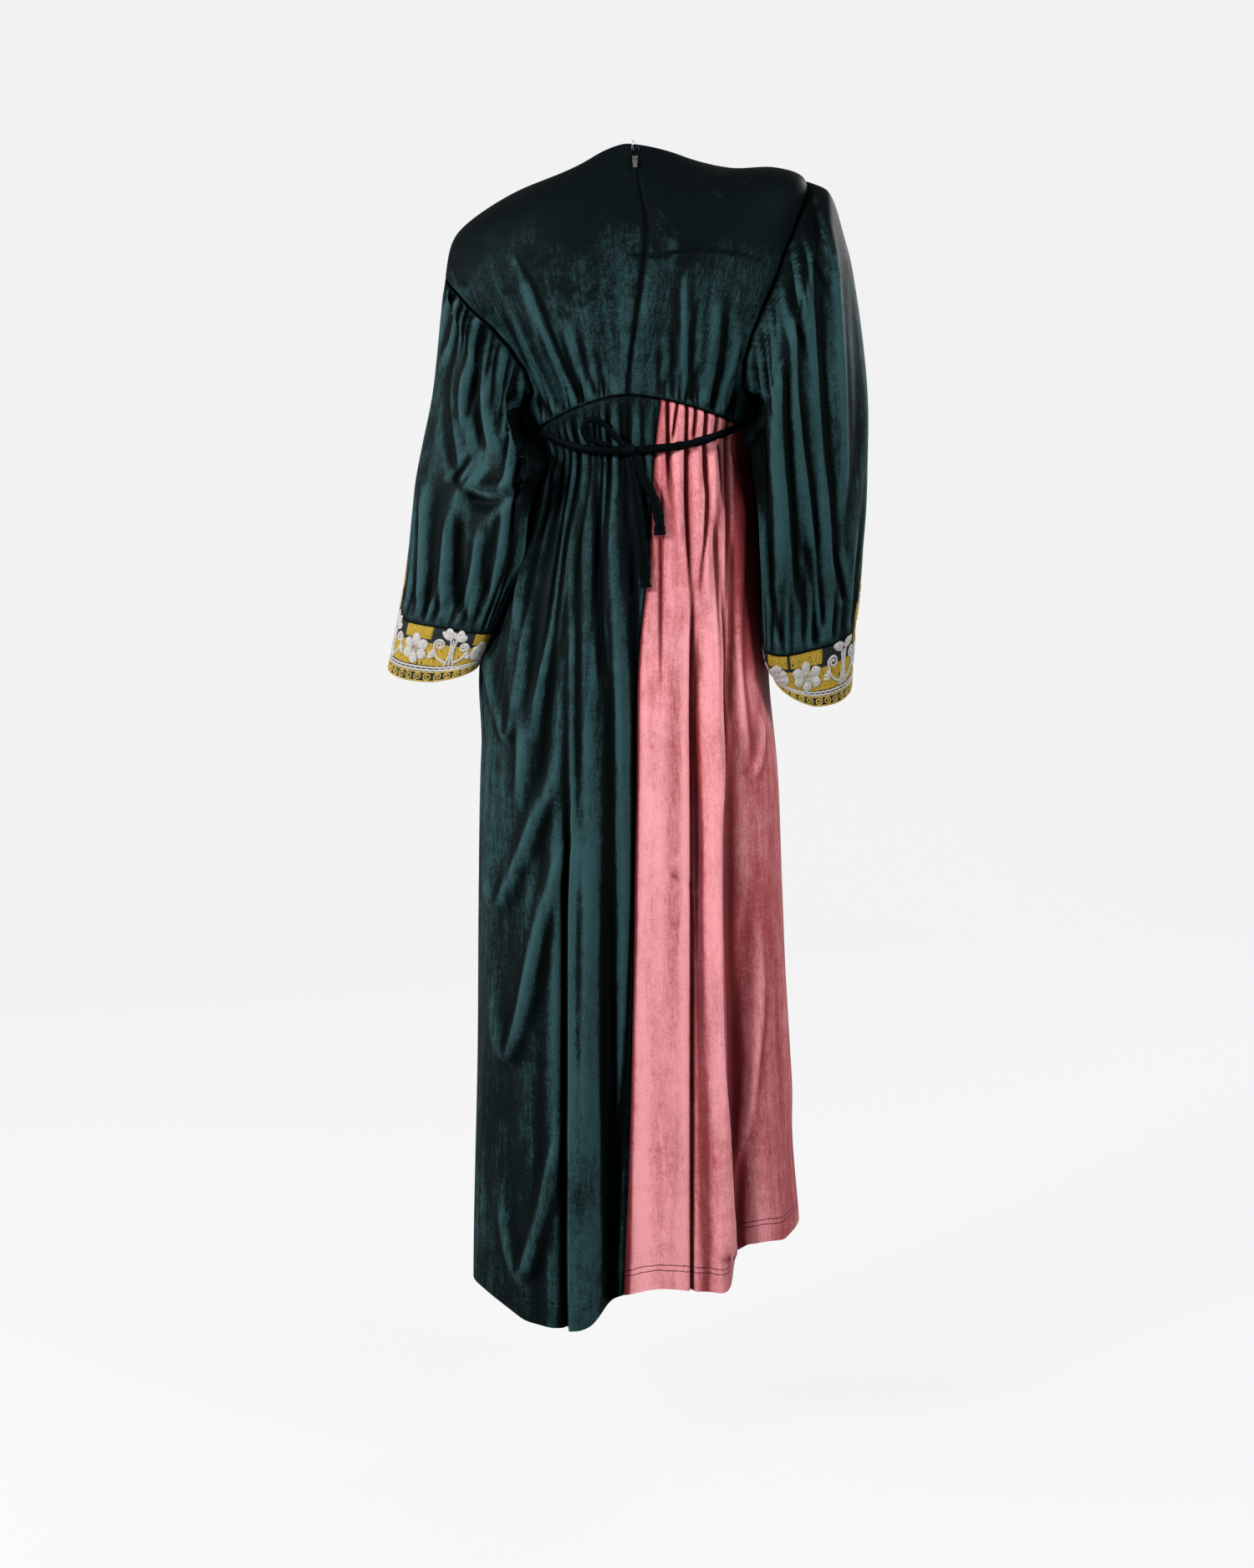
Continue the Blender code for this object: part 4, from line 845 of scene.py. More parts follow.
def velvet(name, look):
    paint = Paint(name)
    flat, place = paint.flat(), paint.place()
    z = paint.parts(place)[2]
    # streaks that run down the cloth, fine and broad, then grit, blots and large patches
    fine = paint.noise(paint.stretch(flat, pile["fine"]), 1.0, 3.0, 0.62, 0.3)
    broad = paint.noise(paint.stretch(flat, pile["broad"]), 1.0, 2.0, 0.55, 0.4)
    grit = paint.noise(place, pile["grit"], 3.0, 0.65)
    blots = paint.noise(place, pile["blots"], 3.0, 0.62)
    patches = paint.noise(place, pile["patches"], 2.0, 0.5)
    crest = paint.value("crest")
    lift = fine * pile["fineLift"] + broad * pile["broadLift"] + grit * pile["gritLift"]
    lift = lift + blots * pile["blotLift"] + patches * pile["patchLift"] - pile["level"]
    # painted highlight: fold ridges, from the crest attribute, raise the pile's share and so are paler
    lift = lift + crest * look["crest"]
    # painted shade on the top of the bodice and sleeves, down to a blotchy border: up-facing pile in little
    # top light
    edge = z + (blots - 0.5) * pile["yokeBlots"] + (patches - 0.5) * pile["yokePatches"] - pile["yokeLow"]
    yoke = edge.smooth(-pile["yokeSoft"], pile["yokeSoft"]) * look["yoke"]
    # painted shade along seams and along two stitched rows above the hem
    seam = 1 - paint.value("seam").smooth(0.0, pile["seamWide"])
    hem = paint.value("hem") + (blots - 0.5) * pile["hemDrift"]
    firstRow, secondRow = pile["hemRows"]
    hemLine = (hem.band(firstRow, pile["hemWide"]) + hem.band(secondRow, pile["hemWide"])) * look["hemDark"]
    # painted shade, read from the shade attribute
    under = paint.value("shade")
    # the raised share drops in a darker band high on the pink; painted shade lowers it low on the green,
    # where less light falls, on the top, at seams and hem rows, and where cloth shades cloth
    upper = z.smooth(*pile["upper"]) * look["top"]
    lower = (1 - z.smooth(*pile["lower"])) * look["foot"]
    raisedShare = lift - upper - lower - yoke * pile["yokeDown"] - seam * pile["seamDown"]
    raisedShare = raisedShare - hemLine * pile["hemDown"] - under * pile["underDown"]
    share = raisedShare.smooth(look["low"], look["high"])
    # painted shade: fold valleys, seams, hem rows, the top and shaded places darken towards the deep colour
    valley = (0 - crest).smooth(0.1, 1.0)
    shade = (1 - seam * look["seamDark"]) * (1 - hemLine * pile["hemShade"]) * (1 - valley * look["valley"])
    shade = shade * (1 - yoke * pile["yokeShade"]) * (1 - under.smooth(0.2, 1.0) * pile["underShade"])
    colour = paint.blend(share, look["dark"], look["lit"])
    colour = paint.blend(shade, look["deep"], colour)
    nap = paint.noise(place, pile["nap"], 2.0, 0.6)
    height = fine * 0.5 + blots * 0.5 + grit * 0.35 + nap * 0.12 - hemLine * 1.2
    tint = (*look["tint"], 1.0)
    common = {
        "Base Color": colour, "Roughness": look["rough"], "Normal": paint.bump(height, 0.5, pile["relief"]),
        "Specular Tint": tint, "Sheen Roughness": look["sheenRough"], "Sheen Tint": tint,
    }
    gloss = {"Specular IOR Level": look["gloss"]}
    lying = paint.surface({**common, **gloss, "Sheen Weight": look["lowSheen"]})
    raised = paint.surface({**common, **gloss, "Sheen Weight": look["highSheen"]})
    dull = paint.surface({**common, "Specular IOR Level": pile["dullGloss"], "Sheen Weight": 0.0})
    mixed = paint.node("ShaderNodeMixShader", {}, {0: share, 1: lying, 2: raised})
    # painted shade also swaps in a dull surface without sheen on the top, at seams and where cloth shades
    # cloth
    covered = (yoke + under + seam * pile["seamDull"]).smooth(0.0, 1.0)
    return paint.done(paint.node("ShaderNodeMixShader", {}, {0: covered, 1: mixed, 2: dull}))


threadRelief, threadSlant = 0.0006, 500.0


def plain(name, colour, rough, grain=0.25, scale=700.0, metallic=0.0, sheen=0.0):
    # one colour with a fine grain in its tone and its relief
    paint = Paint(name)
    grains = paint.noise(paint.place(), scale, 3.0, 0.6)
    darker, paler = [tuple(part * share for part in colour) for share in (1 - grain, 1 + grain)]
    tone = paint.blend(grains, darker, paler)
    bump = paint.bump(grains, 0.4, threadRelief)
    return paint.done(paint.surface({
        "Base Color": tone, "Roughness": rough, "Metallic": metallic, "Normal": bump, "Sheen Weight": sheen,
    }))


def thread(name, colour, rib):
    # couched cord or satin stitch: ribs across the piece's own length, with painted shade between the ribs
    # and a random mottle
    paint = Paint(name)
    around, along, _ = paint.parts(paint.flat())
    twist = (along * (2 * math.pi / rib) + around * threadSlant).sine()
    mottle = paint.noise(paint.place(), 300.0, 2.0, 0.6)
    share = (twist * 0.28 + mottle * 0.9 - 0.05).smooth(0.0, 0.9)
    tone = paint.blend(share, tuple(0.45 * part for part in colour), colour)
    bump = paint.bump(twist * 0.5 + mottle * 0.5, 0.6, threadRelief)
    inputs = {"Base Color": tone, "Roughness": 0.62, "Normal": bump, "Sheen Weight": 0.15}
    return paint.done(paint.surface(inputs))


green, pink = [velvet(name, look) for name, look in velvetLooks.items()]
greenLining = plain("green lining", (0.006, 0.014, 0.015), 0.8)
pinkLining = plain("pink lining", (0.30, 0.085, 0.095), 0.8)
tapeCloth = plain("zip tape", (0.008, 0.011, 0.012), 0.85, 0.4, 1400.0)
zipMetal = plain("zip metal", (0.32, 0.31, 0.29), 0.38, 0.12, 900.0, 1.0)
print("materials made")


def across(angle, start, end, radius):
    # metres from the nearer of a piece's two side edges
    return np.radians(np.minimum(np.abs(angle - start), np.abs(end - angle))) * radius


def groove(seam, deep, wide):
    return -deep * bell(seam, wide)


# The bodice: strokes are folds seen behind, gathers start at the waist seam, seams are grooves.
bodiceSettings = {
    "backColumns": 130, "frontColumns": 110, "radius": 0.16, "length": 0.29, "grooveDeep": 0.0013,
    "grooveWide": 0.0024, "share": 0.62, "backGathers": (11, 38, 144, 34, 0.0030, 0.65, 0.20),
    "frontGathers": (12, 215, 330, 24, 0.0030, 1.4, 0.30),
    "strokesFrom": 0.010, "zipClear": (0.016, 0.034), "edgeFade": 0.010,
    "creaseDark": 0.8, "creaseWide": 0.0020,
    "crease": ((-0.006, -0.087), (-0.033, -0.088), (-0.056, -0.084), (-0.085, -0.081), (-0.127, -0.086),
               (-0.150, -0.092)),
}


def bodiceHeight(angle, rise, grid, seam, side, settings):
    # strokes and gathers, whose valleys keep clear of the zip, and a groove along the seams
    mask = ramp(np.sin(np.radians(angle)), 0.02, 0.25) * ramp(seam, 0.0, settings["strokesFrom"])
    height = foldHeight(grid, bodiceStrokes, mask) * settings["share"]
    for rows in (settings["backGathers"], settings["frontGathers"]):
        height = height + gathers(angle, rise, gatherRows(*rows))
    valleys = height * ramp(side, *settings["zipClear"])
    height = np.where(height < 0, valleys, height * ramp(side, 0.0, settings["edgeFade"]))
    return height + groove(seam, settings["grooveDeep"], settings["grooveWide"])


def creaseShade(grid, settings):
    # painted shade, 1 along the sharp crease that storage left right of the zip
    distance = lineDistance(grid[..., 0].ravel(), grid[..., 2].ravel(), settings["crease"])[0]
    behind = grid[..., 1] > 0
    return settings["creaseDark"] * bell(distance.reshape(behind.shape), settings["creaseWide"]) * behind


def makeBodice(settings):
    rises = np.unique(np.concatenate([
        np.linspace(0, 0.1, 13), np.linspace(0.1, 0.105, 8), np.linspace(0.105, 0.12, 8),
        np.linspace(0.12, 0.16, 10), np.linspace(0.16, 1, 84),
    ]))[::-1]
    zipAngle = np.interp(rises, (0, 1), cloth["zipAngles"])
    seamAngle = cloth["seamDegrees"]
    leftEdge = armholeAngle(rises, "left", "back") + seamAngle
    rightEdge = 180 - armholeAngle(rises, "right", "back") - seamAngle
    frontLeft = 360 - armholeAngle(rises, "left", "front") - seamAngle
    frontRight = 180 + armholeAngle(rises, "right", "front") + seamAngle
    made = []
    for name, start, end, columns in (
        ("bodice_back_left", leftEdge, zipAngle - seamAngle, settings["backColumns"]),
        ("bodice_back_right", zipAngle + seamAngle, rightEdge, settings["backColumns"]),
        ("bodice_front", frontRight, frontLeft, settings["frontColumns"]),
    ):
        angle = spread(start, end, columns)
        rise = np.repeat(rises[:, None], columns, 1)
        grid = bodiceSurface(angle, rise)
        out = panelNormals(bodiceSurface, angle, rise, -1)
        side = across(angle, start[:, None], end[:, None], settings["radius"])
        seam = np.minimum(side, rise * settings["length"])
        height = bodiceHeight(angle, rise, grid, seam, side, settings)
        uv = (np.radians(angle) * settings["radius"], (1 - rise) * settings["length"])
        crest = crestOf(height, crestSettings["bodiceReach"], False)
        values = {"seam": seam, "hem": 0 * seam + 1, "crest": crest, "shade": creaseShade(grid, settings)}
        piece = clothWall(f"{name}_cloth", grid, out, height, cloth["thick"], False, (green, greenLining), uv,
                          values=values)
        standFor(piece, "green_velvet", name)
        made.append(piece)
    return made


# The skirt: the solid's folds at a part of their height, then the strokes, gathers and hem.
skirtSettings = {
    "rows": 160, "greenColumns": 190, "pinkColumns": 170, "frontColumns": 100, "length": 1.08, "radius": 0.17,
    "share": 0.6, "pinkShare": 0.35, "full": (86.0, 129.0),
    "greenGathers": (21, 6, 100, 22, 0.0052, 0.9, 0.34), "pinkGathers": (24, 142, 176, 9, 0.0040, 0.8, 0.13),
    "frontGathers": (22, 186, 354, 26, 0.0060, 1.8, 0.45), "grooveDeep": 0.0015, "grooveWide": 0.0028,
    "allowance": 0.6, "turned": 0.0026, "rowPower": 1.25, "pinkFolds": (100.0, 120.0),
    "billows": (
        (10.0, 22.0, 0.43, 0.66, 0.014), (34.0, 11.0, 0.38, 0.62, 0.012), (172.0, 14.0, 0.36, 0.66, 0.006),
    ),
    "billowStart": 0.08, "billowEnd": 0.14,
}
# Painted shade on the skirt where the sleeves hang close in front of its sides and on the pink's lower right,
# where less light falls; the green below the tie is darkened the same way. Each gives x from none to full,
# and depths where a shade comes and goes.
skirtShade = {
    "right": {"x": (-0.116, -0.131), "ends": (0.44, 0.64)},
    "left": {"x": (0.085, 0.120), "starts": (0.30, 0.36), "ends": (0.42, 0.52), "dark": 0.8},
    "low": {"x": (-0.078, -0.083), "moreX": (-0.106, -0.112), "starts": (0.42, 0.70), "dark": (0.16, 0.18)},
    "middle": {"x": (-0.050, -0.040), "ends": (0.46, 0.66), "dark": 0.24},
}


def billow(grid, angle, settings):
    # the skirt's fullness swells a little beside each sleeve
    added, depth = np.zeros(angle.shape), -grid[..., 2]
    for middle, wide, high, low, reach in settings["billows"]:
        starts = ramp(depth, high, high + settings["billowStart"])
        ends = ramp(depth, low - settings["billowEnd"], low)
        added = added + reach * bell(angle - middle, wide) * starts * (1 - ends)
    return added


def skirtHeight(angle, fall, grid, seam, settings):
    # folds whose place, height and width change from waist to hem, then strokes, gathers and billows
    height = np.zeros_like(angle)
    firstPink, lastPink = settings["pinkFolds"]
    for row in zip(*skirtFolds.values()):
        topAngle, hemAngle, start, full, topHeight, hemHeight, topWidth, hemWidth = row
        middle = topAngle + (hemAngle - topAngle) * fall
        width = topWidth + (hemWidth - topWidth) * fall
        tall = topHeight * (1 - fall) + hemHeight * fall
        share = settings["pinkShare" if firstPink < topAngle < lastPink else "share"]
        if topAngle in settings["full"] or topAngle > 180:
            share = 1.0
        height = height + share * tall * ramp(fall, start, full) * bell(angle - middle, width)
    height = height + foldHeight(grid, skirtStrokes, ramp(np.sin(np.radians(angle)), 0.02, 0.2))
    for name in ("greenGathers", "pinkGathers", "frontGathers"):
        height = height + gathers(angle, fall, gatherRows(*settings[name]))
    height = height + billow(grid, angle, settings)
    return height + groove(seam, settings["grooveDeep"], settings["grooveWide"])


def paintedSkirtShade(grid, settings):
    # painted shade: 1 where a sleeve hangs close in front of the skirt's side, less lower down on the pink's
    # right, where less light falls, and on the green below the tie
    x, depth = grid[..., 0], -grid[..., 2]
    right, left, low, middle = settings.values()
    onRight = ramp(x, *right["x"]) * (1 - ramp(depth, *right["ends"]))
    onLeft = left["dark"] * ramp(x, *left["x"]) * ramp(depth, *left["starts"])
    onLeft = onLeft * (1 - ramp(depth, *left["ends"]))
    first, second = low["dark"]
    lowDown = (first * ramp(x, *low["x"]) + second * ramp(x, *low["moreX"])) * ramp(depth, *low["starts"])
    belowTie = middle["dark"] * ramp(x, *middle["x"]) * (1 - ramp(depth, *middle["ends"]))
    return np.max([onRight, onLeft, lowDown, belowTie], axis=0)


def makeSkirt(settings):
    falls = np.linspace(0, 1, settings["rows"]) ** settings["rowPower"]
    backSplit, frontSplit = read(split, "back", falls), read(split, "front", falls)
    level, seamAngle = np.ones_like(falls), cloth["seamDegrees"]
    made = []
    for name, start, end, columns, cloths, slot in (
        ("skirt_back_green", 0 * level + seamAngle, backSplit - seamAngle, settings["greenColumns"],
         (green, greenLining), "green_velvet"),
        ("skirt_back_pink", backSplit + seamAngle, 180 * level - seamAngle, settings["pinkColumns"],
         (pink, pinkLining), "pink_velvet"),
        ("skirt_front_pink", 180 * level + seamAngle, frontSplit - seamAngle, settings["frontColumns"],
         (pink, pinkLining), "pink_velvet"),
        ("skirt_front_green", frontSplit + seamAngle, 360 * level - seamAngle, settings["frontColumns"],
         (green, greenLining), "green_velvet"),
    ):
        # the last column is the seam's allowance, turned in under the next piece
        angle = np.concatenate([spread(start, end, columns), end[:, None] + settings["allowance"]], axis=1)
        fall = np.repeat(falls[:, None], columns + 1, 1)
        grid = skirtSurface(angle % 360, fall)
        out = panelNormals(skirtSurface, angle % 360, fall, 0)
        seam = across(angle, start[:, None], end[:, None], settings["radius"])
        seam = np.minimum(seam, fall * settings["length"])
        height = skirtHeight(angle, fall, grid, seam, settings)
        height[:, -1] = height[:, -2] - settings["turned"]
        uv = (np.radians(angle) * settings["radius"], fall * settings["length"])
        values = {"seam": seam, "hem": (1 - fall) * settings["length"]}
        values["crest"] = crestOf(height, crestSettings["reach"], False)
        values["shade"] = paintedSkirtShade(grid, skirtShade)
        piece = clothWall(f"{name}_cloth", grid, out, height, cloth["thick"], False, cloths, uv,
                          values=values)
        standFor(piece, slot, name)
        made.append(piece)
    return made


# The sleeves: gathers at the armhole and at the cuff, slow waves round the arm, and the strokes behind.
sleeveSettings = {
    "rows": 120, "columns": 260, "around": 0.50, "down": 0.55,
    "top": {"left": (31, 0, 360, 26, 0.0042, 3.6, 0.34), "right": (32, 0, 360, 26, 0.0042, 3.6, 0.34)},
    "foot": {"left": (33, 0, 360, 24, 0.0040, 3.8, 0.30), "right": (34, 0, 360, 24, 0.0040, 3.8, 0.30)},
    "waves": {
        "high": 0.0018, "counts": (5, 7, 9), "seed": {"left": 40, "right": 41}, "twist": 60,
        "from": (0.05, 0.25), "to": (0.8, 1),
        "lessBehind": 0.6, "behind": (-0.2, 0.3), "behindTo": (0.3, 0.6),
    },
    "rowBunch": 0.05, "strokesBehind": (0.0, 0.35), "strokesFrom": (0.0, 0.03),
    "tuck": 0.009, "tuckIn": 0.0030, "grooveDeep": 0.0012, "grooveWide": 0.0030,
    "falls": {
        "count": 22, "deep": 0.0046, "wide": 0.0028, "length": 0.125, "spread": 0.20,
        "seed": {"left": 60, "right": 61}, "edge": 200, "shares": (0.10, 0.97), "stray": 3,
        "lengths": (0.6, 1.4), "longer": (0.6, 0.6), "lean": 1.3, "above": 0.008, "middle": (0.4, 0.5),
        "depths": (0.6, 1.3), "widths": (0.8, 1.3), "fades": (0.01, 0.6),
    },
    "underarm": {"left": (0.112, 0.136), "right": (0.148, 0.166), "from": (0.23, 0.26), "to": (0.33, 0.42),
                 "dark": 0.9},
}


def seamFolds(side, settings):
    # gathers that fall from the armhole's back edge, nearly straight down
    chance = np.random.default_rng(settings["seed"][side])
    count, stray = settings["edge"], settings["stray"]
    edge = armholeEdge(side, "back", count)
    outwards = 1 if side == "left" else -1
    shortest, longer = settings["longer"]
    aside, down = settings["middle"]
    found = []
    for share in np.linspace(*settings["shares"], settings["count"]):
        x, _, z = edge[int(share * (count - 1) + chance.uniform(-stray, stray)) % count]
        length = settings["length"] * chance.uniform(*settings["lengths"]) * (shortest + longer * share)
        lean = outwards * settings["spread"] * (settings["lean"] - share) * length
        top, end = (x, z + settings["above"]), (x + lean, z - length)
        points = (top, (x + aside * lean, z - down * length), end)
        deep = -settings["deep"] * chance.uniform(*settings["depths"])
        wide = settings["wide"] * chance.uniform(*settings["widths"])
        found.append(("fold", points, deep, wide, *settings["fades"]))
    return found


def underarmShade(side, grid, settings):
    # 1 at the sleeve's inner edge, in the shadow beside the waist
    beside, depth = np.abs(grid[..., 0]), -grid[..., 2]
    inner = 1 - ramp(beside, *settings[side])
    return settings["dark"] * inner * ramp(depth, *settings["from"]) * (1 - ramp(depth, *settings["to"]))


def makeSleeve(side, settings):
    columns = settings["columns"]
    angle = 360 * np.arange(columns) / columns
    cuffStart = cuffLine(angle)[None]
    before, after = np.roll(cuffStart, 1), np.roll(cuffStart, -1)
    steep = (after - before) / 2 * cloth["armLength"] / (cloth["sleeveRadius"] * math.radians(360 / columns))
    gap = cloth["cuffGap"] / cloth["armLength"] * np.sqrt(1 + steep**2)
    t = np.linspace(0, 1, settings["rows"])
    share = (t - settings["rowBunch"] * np.sin(2 * np.pi * t))[:, None]
    along = share * (cuffStart - gap)
    turned = np.repeat(angle[None], len(share), 0)
    grid = sleeveSurface(side, columns, along)
    out = tubeNormals(grid)
    # the first ring is tucked under the bodice's edge
    tucked = grid[0].copy()
    tucked[:, 0] += settings["tuck"] * (-1 if side == "left" else 1)
    tucked[:, 1] -= settings["tuckIn"] * np.sign(tucked[:, 1])
    grid, out = np.concatenate([tucked[None], grid]), np.concatenate([out[:1], out])
    share, along = np.concatenate([share[:1], share]), np.concatenate([along[:1], along])
    turned = np.concatenate([turned[:1], turned])
    waves = settings["waves"]
    chance = np.random.default_rng(waves["seed"][side])
    height = np.zeros_like(turned)
    fade = ramp(along, *waves["from"]) * (1 - ramp(share, *waves["to"]))
    for count in waves["counts"]:
        wave = np.radians(turned * count + 360 * chance.random() + waves["twist"] * along)
        height = height + waves["high"] * np.sin(wave) * fade
    behind = ramp(out[..., 1], *waves["behind"])
    height = height * (1 - waves["lessBehind"] * behind * (1 - ramp(along, *waves["behindTo"])))
    height = height + gathers(turned, along, gatherRows(*settings["top"][side])) * (1 - behind)
    height = height + gathers(turned, (1 - share) * cuffStart, gatherRows(*settings["foot"][side]))
    strokes = (leftStrokes if side == "left" else rightStrokes) + seamFolds(side, settings["falls"])
    height = height + foldHeight(grid, strokes, ramp(out[..., 1], *settings["strokesBehind"]))
    height = height * ramp(along, *settings["strokesFrom"])
    seam = np.minimum(along, (1 - share) * cuffStart) * cloth["armLength"]
    height = height + groove(seam, settings["grooveDeep"], settings["grooveWide"])
    uv = (turned / 360 * settings["around"], along * settings["down"])
    values = {"seam": seam, "hem": 0 * seam + 1, "crest": crestOf(height, crestSettings["reach"], True)}
    values["shade"] = underarmShade(side, grid, settings["underarm"])
    piece = clothWall(f"sleeve_{side}_cloth", grid, out, height, cloth["thick"], True,
                      (green, greenLining), uv, settings["around"], values)
    standFor(piece, "green_velvet", f"sleeve_{side}")
    return piece


bodicePieces = makeBodice(bodiceSettings)
print("bodice made")
skirtPieces = makeSkirt(skirtSettings)
print("skirt made")
sleevePieces = [makeSleeve(side, sleeveSettings) for side in ("left", "right")]
print("sleeves made")


# The cuffs: dark cloth with yellow ribs, low all round and as a block above each flower. Heights in metres.
cuffSettings = {
    "rows": 60, "columns": 300, "around": 0.340, "waves": (9, 0.0003), "edgeDeep": 0.0008, "edgeWide": 0.05,
    "lowBand": (0.0185, 0.0200, 0.0440, 0.0460), "blocksFrom": (0.0485, 0.0500), "blockDegrees": (17.5, 19.0),
    "worn": (0.60, 0.66), "blots": 260.0, "ribs": 3400.0, "ribDrift": 5.0, "relief": 0.0009,
    "darkYellow": (0.20, 0.120, 0.012), "yellow": (0.62, 0.43, 0.050), "ground": (0.010, 0.012, 0.013),
}


# The embroidery, in millimetres round the cuff and above its edge: satin petals, couched cords and scrolls.
# Each motif has its kind, its angle round the cuff, its height and its size. Thicknesses are metres.
motifSettings = {
    "around": 340.0, "size": 1.28, "first": 0.56, "columns": 720, "rows": 180, "lift": 0.0003, "margin": 1.5,
    "petalThick": 0.0011, "cordThick": 0.0007, "petalSides": 8, "cordSides": 6,
    "scrolls": 30, "edgeStep": 11.33,
    "whiteBands": ((13.6, 2.4), (17.0, 2.4)), "yellowBands": (0.9, 11.2), "rib": 0.0011,
    "left": [
        ("flower", 61.0, 37.0, 1.0), ("palmette", 106.0, 19.0, 1.0), ("flower", 151.0, 37.0, 1.0),
        ("palmette", 196.0, 19.0, 1.0), ("flower", 241.0, 37.0, 1.0), ("palmette", 286.0, 19.0, 1.0),
        ("flower", 331.0, 40.0, 1.0), ("palmette", 16.0, 19.0, 1.0), ("palmette", 333.0, 58.0, 1.05),
        ("flower", 308.0, 84.0, 0.75), ("flower", 358.0, 84.0, 0.75), ("flower", 334.0, 126.0, 0.9),
        ("palmette", 335.0, 141.0, 0.75),
    ],
    "right": [
        ("flower", 139.0, 36.0, 1.0), ("flower", 97.0, 37.0, 1.05), ("palmette", 46.0, 19.0, 1.1),
        ("palmette", 184.0, 19.0, 1.0), ("flower", 229.0, 37.0, 1.0), ("palmette", 274.0, 19.0, 1.0),
        ("flower", 318.0, 37.0, 1.0), ("flower", 2.0, 40.0, 1.0), ("palmette", 338.0, 58.0, 1.05),
        ("flower", 308.0, 84.0, 0.75), ("flower", 3.0, 84.0, 0.8), ("flower", 336.0, 126.0, 0.9),
        ("palmette", 336.0, 141.0, 0.75),
    ],
}


def cuffBase(settings):
    paint = Paint("cuff ground")
    s, h, _ = paint.parts(paint.flat())
    blots = paint.noise(paint.place(), settings["blots"], 3.0, 0.6)
    bottom, full, fades, top = settings["lowBand"]
    low = h.smooth(bottom, full) * (1 - h.smooth(fades, top))
    high = paint.value("block") * h.smooth(*settings["blocksFrom"])
    yellow = (low + high) * (1 - blots.smooth(*settings["worn"]))
    ribs = (s * settings["ribs"] + blots * settings["ribDrift"]).sine()
    # painted shade between the stitch ribs, with a random mottle, sets the yellow's tone
    mottle = (ribs * 0.35 + blots * 0.8).smooth(0.0, 1.0)
    tone = paint.blend(mottle, settings["darkYellow"], settings["yellow"])
    colour = paint.blend(yellow, settings["ground"], tone)
    bump = paint.bump(yellow * (0.7 + ribs * 0.3), 0.8, settings["relief"])
    inputs = {"Base Color": colour, "Roughness": 0.7, "Normal": bump, "Specular IOR Level": 0.12}
    return paint.done(paint.surface(inputs))


def makeCuff(side, settings, finish):
    columns = settings["columns"]
    angle = 360 * np.arange(columns) / columns
    cuffStart = cuffLine(angle)[None]
    down = np.linspace(0, 1, settings["rows"])[:, None]
    along = cuffStart + (1 - cuffStart) * down
    grid = sleeveSurface(side, columns, along)
    out = tubeNormals(grid)
    turned = np.repeat(angle[None], len(down), 0)
    count, high = settings["waves"]
    height = high * np.sin(np.radians(count * turned))
    height = height - settings["edgeDeep"] * bell(down, settings["edgeWide"])
    uv = (turned / 360 * settings["around"], (1 - along) * cloth["armLength"])
    block = np.zeros_like(turned)
    narrow, wide = settings["blockDegrees"]
    for kind, middle, _, size in motifSettings[side]:
        away = np.abs((turned - middle + 180) % 360 - 180)
        block = np.maximum(block, (kind == "flower") * (1 - ramp(away, narrow * size, wide * size)))
    piece = clothWall(f"cuff_{side}_cloth", grid, out, height, cloth["cuffThick"], True,
                      (finish, greenLining), uv, settings["around"], {"block": block})
    standFor(piece, "embroidered_velvet", f"cuff_{side}")
    return piece


cuffGround = cuffBase(cuffSettings)
cuffPieces = [makeCuff(side, cuffSettings, cuffGround) for side in ("left", "right")]
print("cuffs made")


def cuffLookup(side, settings):
    # the cuff's points and the ways out of it, on a fine grid from the first share of the arm to the edge
    along = np.linspace(settings["first"], 1, settings["rows"])[:, None]
    grid = sleeveSurface(side, settings["columns"], np.repeat(along, settings["columns"], 1))
    return grid, tubeNormals(grid)


def onCuff(lookup, s, h, lift, settings):
    # the point of the cuff and the way out of it, read between the four nearest points of a fine grid
    columns, first = settings["columns"], settings["first"]
    column = (s / settings["around"] * columns) % columns
    row = (1 - h / 1000 / cloth["armLength"] - first) / (1 - first) * (settings["rows"] - 1)
    row = np.clip(row, 0, settings["rows"] - 1.001)
    i, j = row.astype(int), column.astype(int)
    a, b = (row - i)[:, None], (column - j)[:, None]
    j, k = j % columns, (j + 1) % columns
    point, out = [
        (source[i, j] * (1 - a) + source[i + 1, j] * a) * (1 - b)
        + (source[i, k] * (1 - a) + source[i + 1, k] * a) * b for source in lookup
    ]
    out = unit(out)
    return point + out * np.reshape(lift, (-1, 1)), out


petalPoints, petalLean, petalRound, coilPoints, coilShrink = 13, 1.25, 0.62, 22, 0.80


def petalShape(root, tip, wide):
    # a lens from root to tip, widest past its middle
    share = np.linspace(0, 1, petalPoints)
    line = np.array(root) + (np.array(tip) - np.array(root)) * share[:, None]
    return line, wide / 2 * np.sin(np.pi * share**petalLean) ** petalRound


def spiralShape(centre, radius, turns, start, flip):
    # a coil that runs in to a fifth of its radius
    share = np.linspace(0, 1, int(coilPoints * turns))
    turn = np.radians(start) + flip * 2 * np.pi * turns * share
    reach = radius * (1 - coilShrink * share)
    return np.stack([centre[0] + reach * np.cos(turn), centre[1] + reach * np.sin(turn)], -1)


def flowerShapes(size):
    # six round petals and a coiled middle
    petals = []
    for turn in np.radians(np.arange(6) * 60 + 30):
        way = np.array([np.cos(turn), np.sin(turn)])
        petals.append(petalShape(way * 2.5 * size, way * 13.5 * size, 9.5 * size))
    return petals, [(spiralShape((0, 0), 4.6 * size, 2.2, 20, 1), 1.5 * size)]


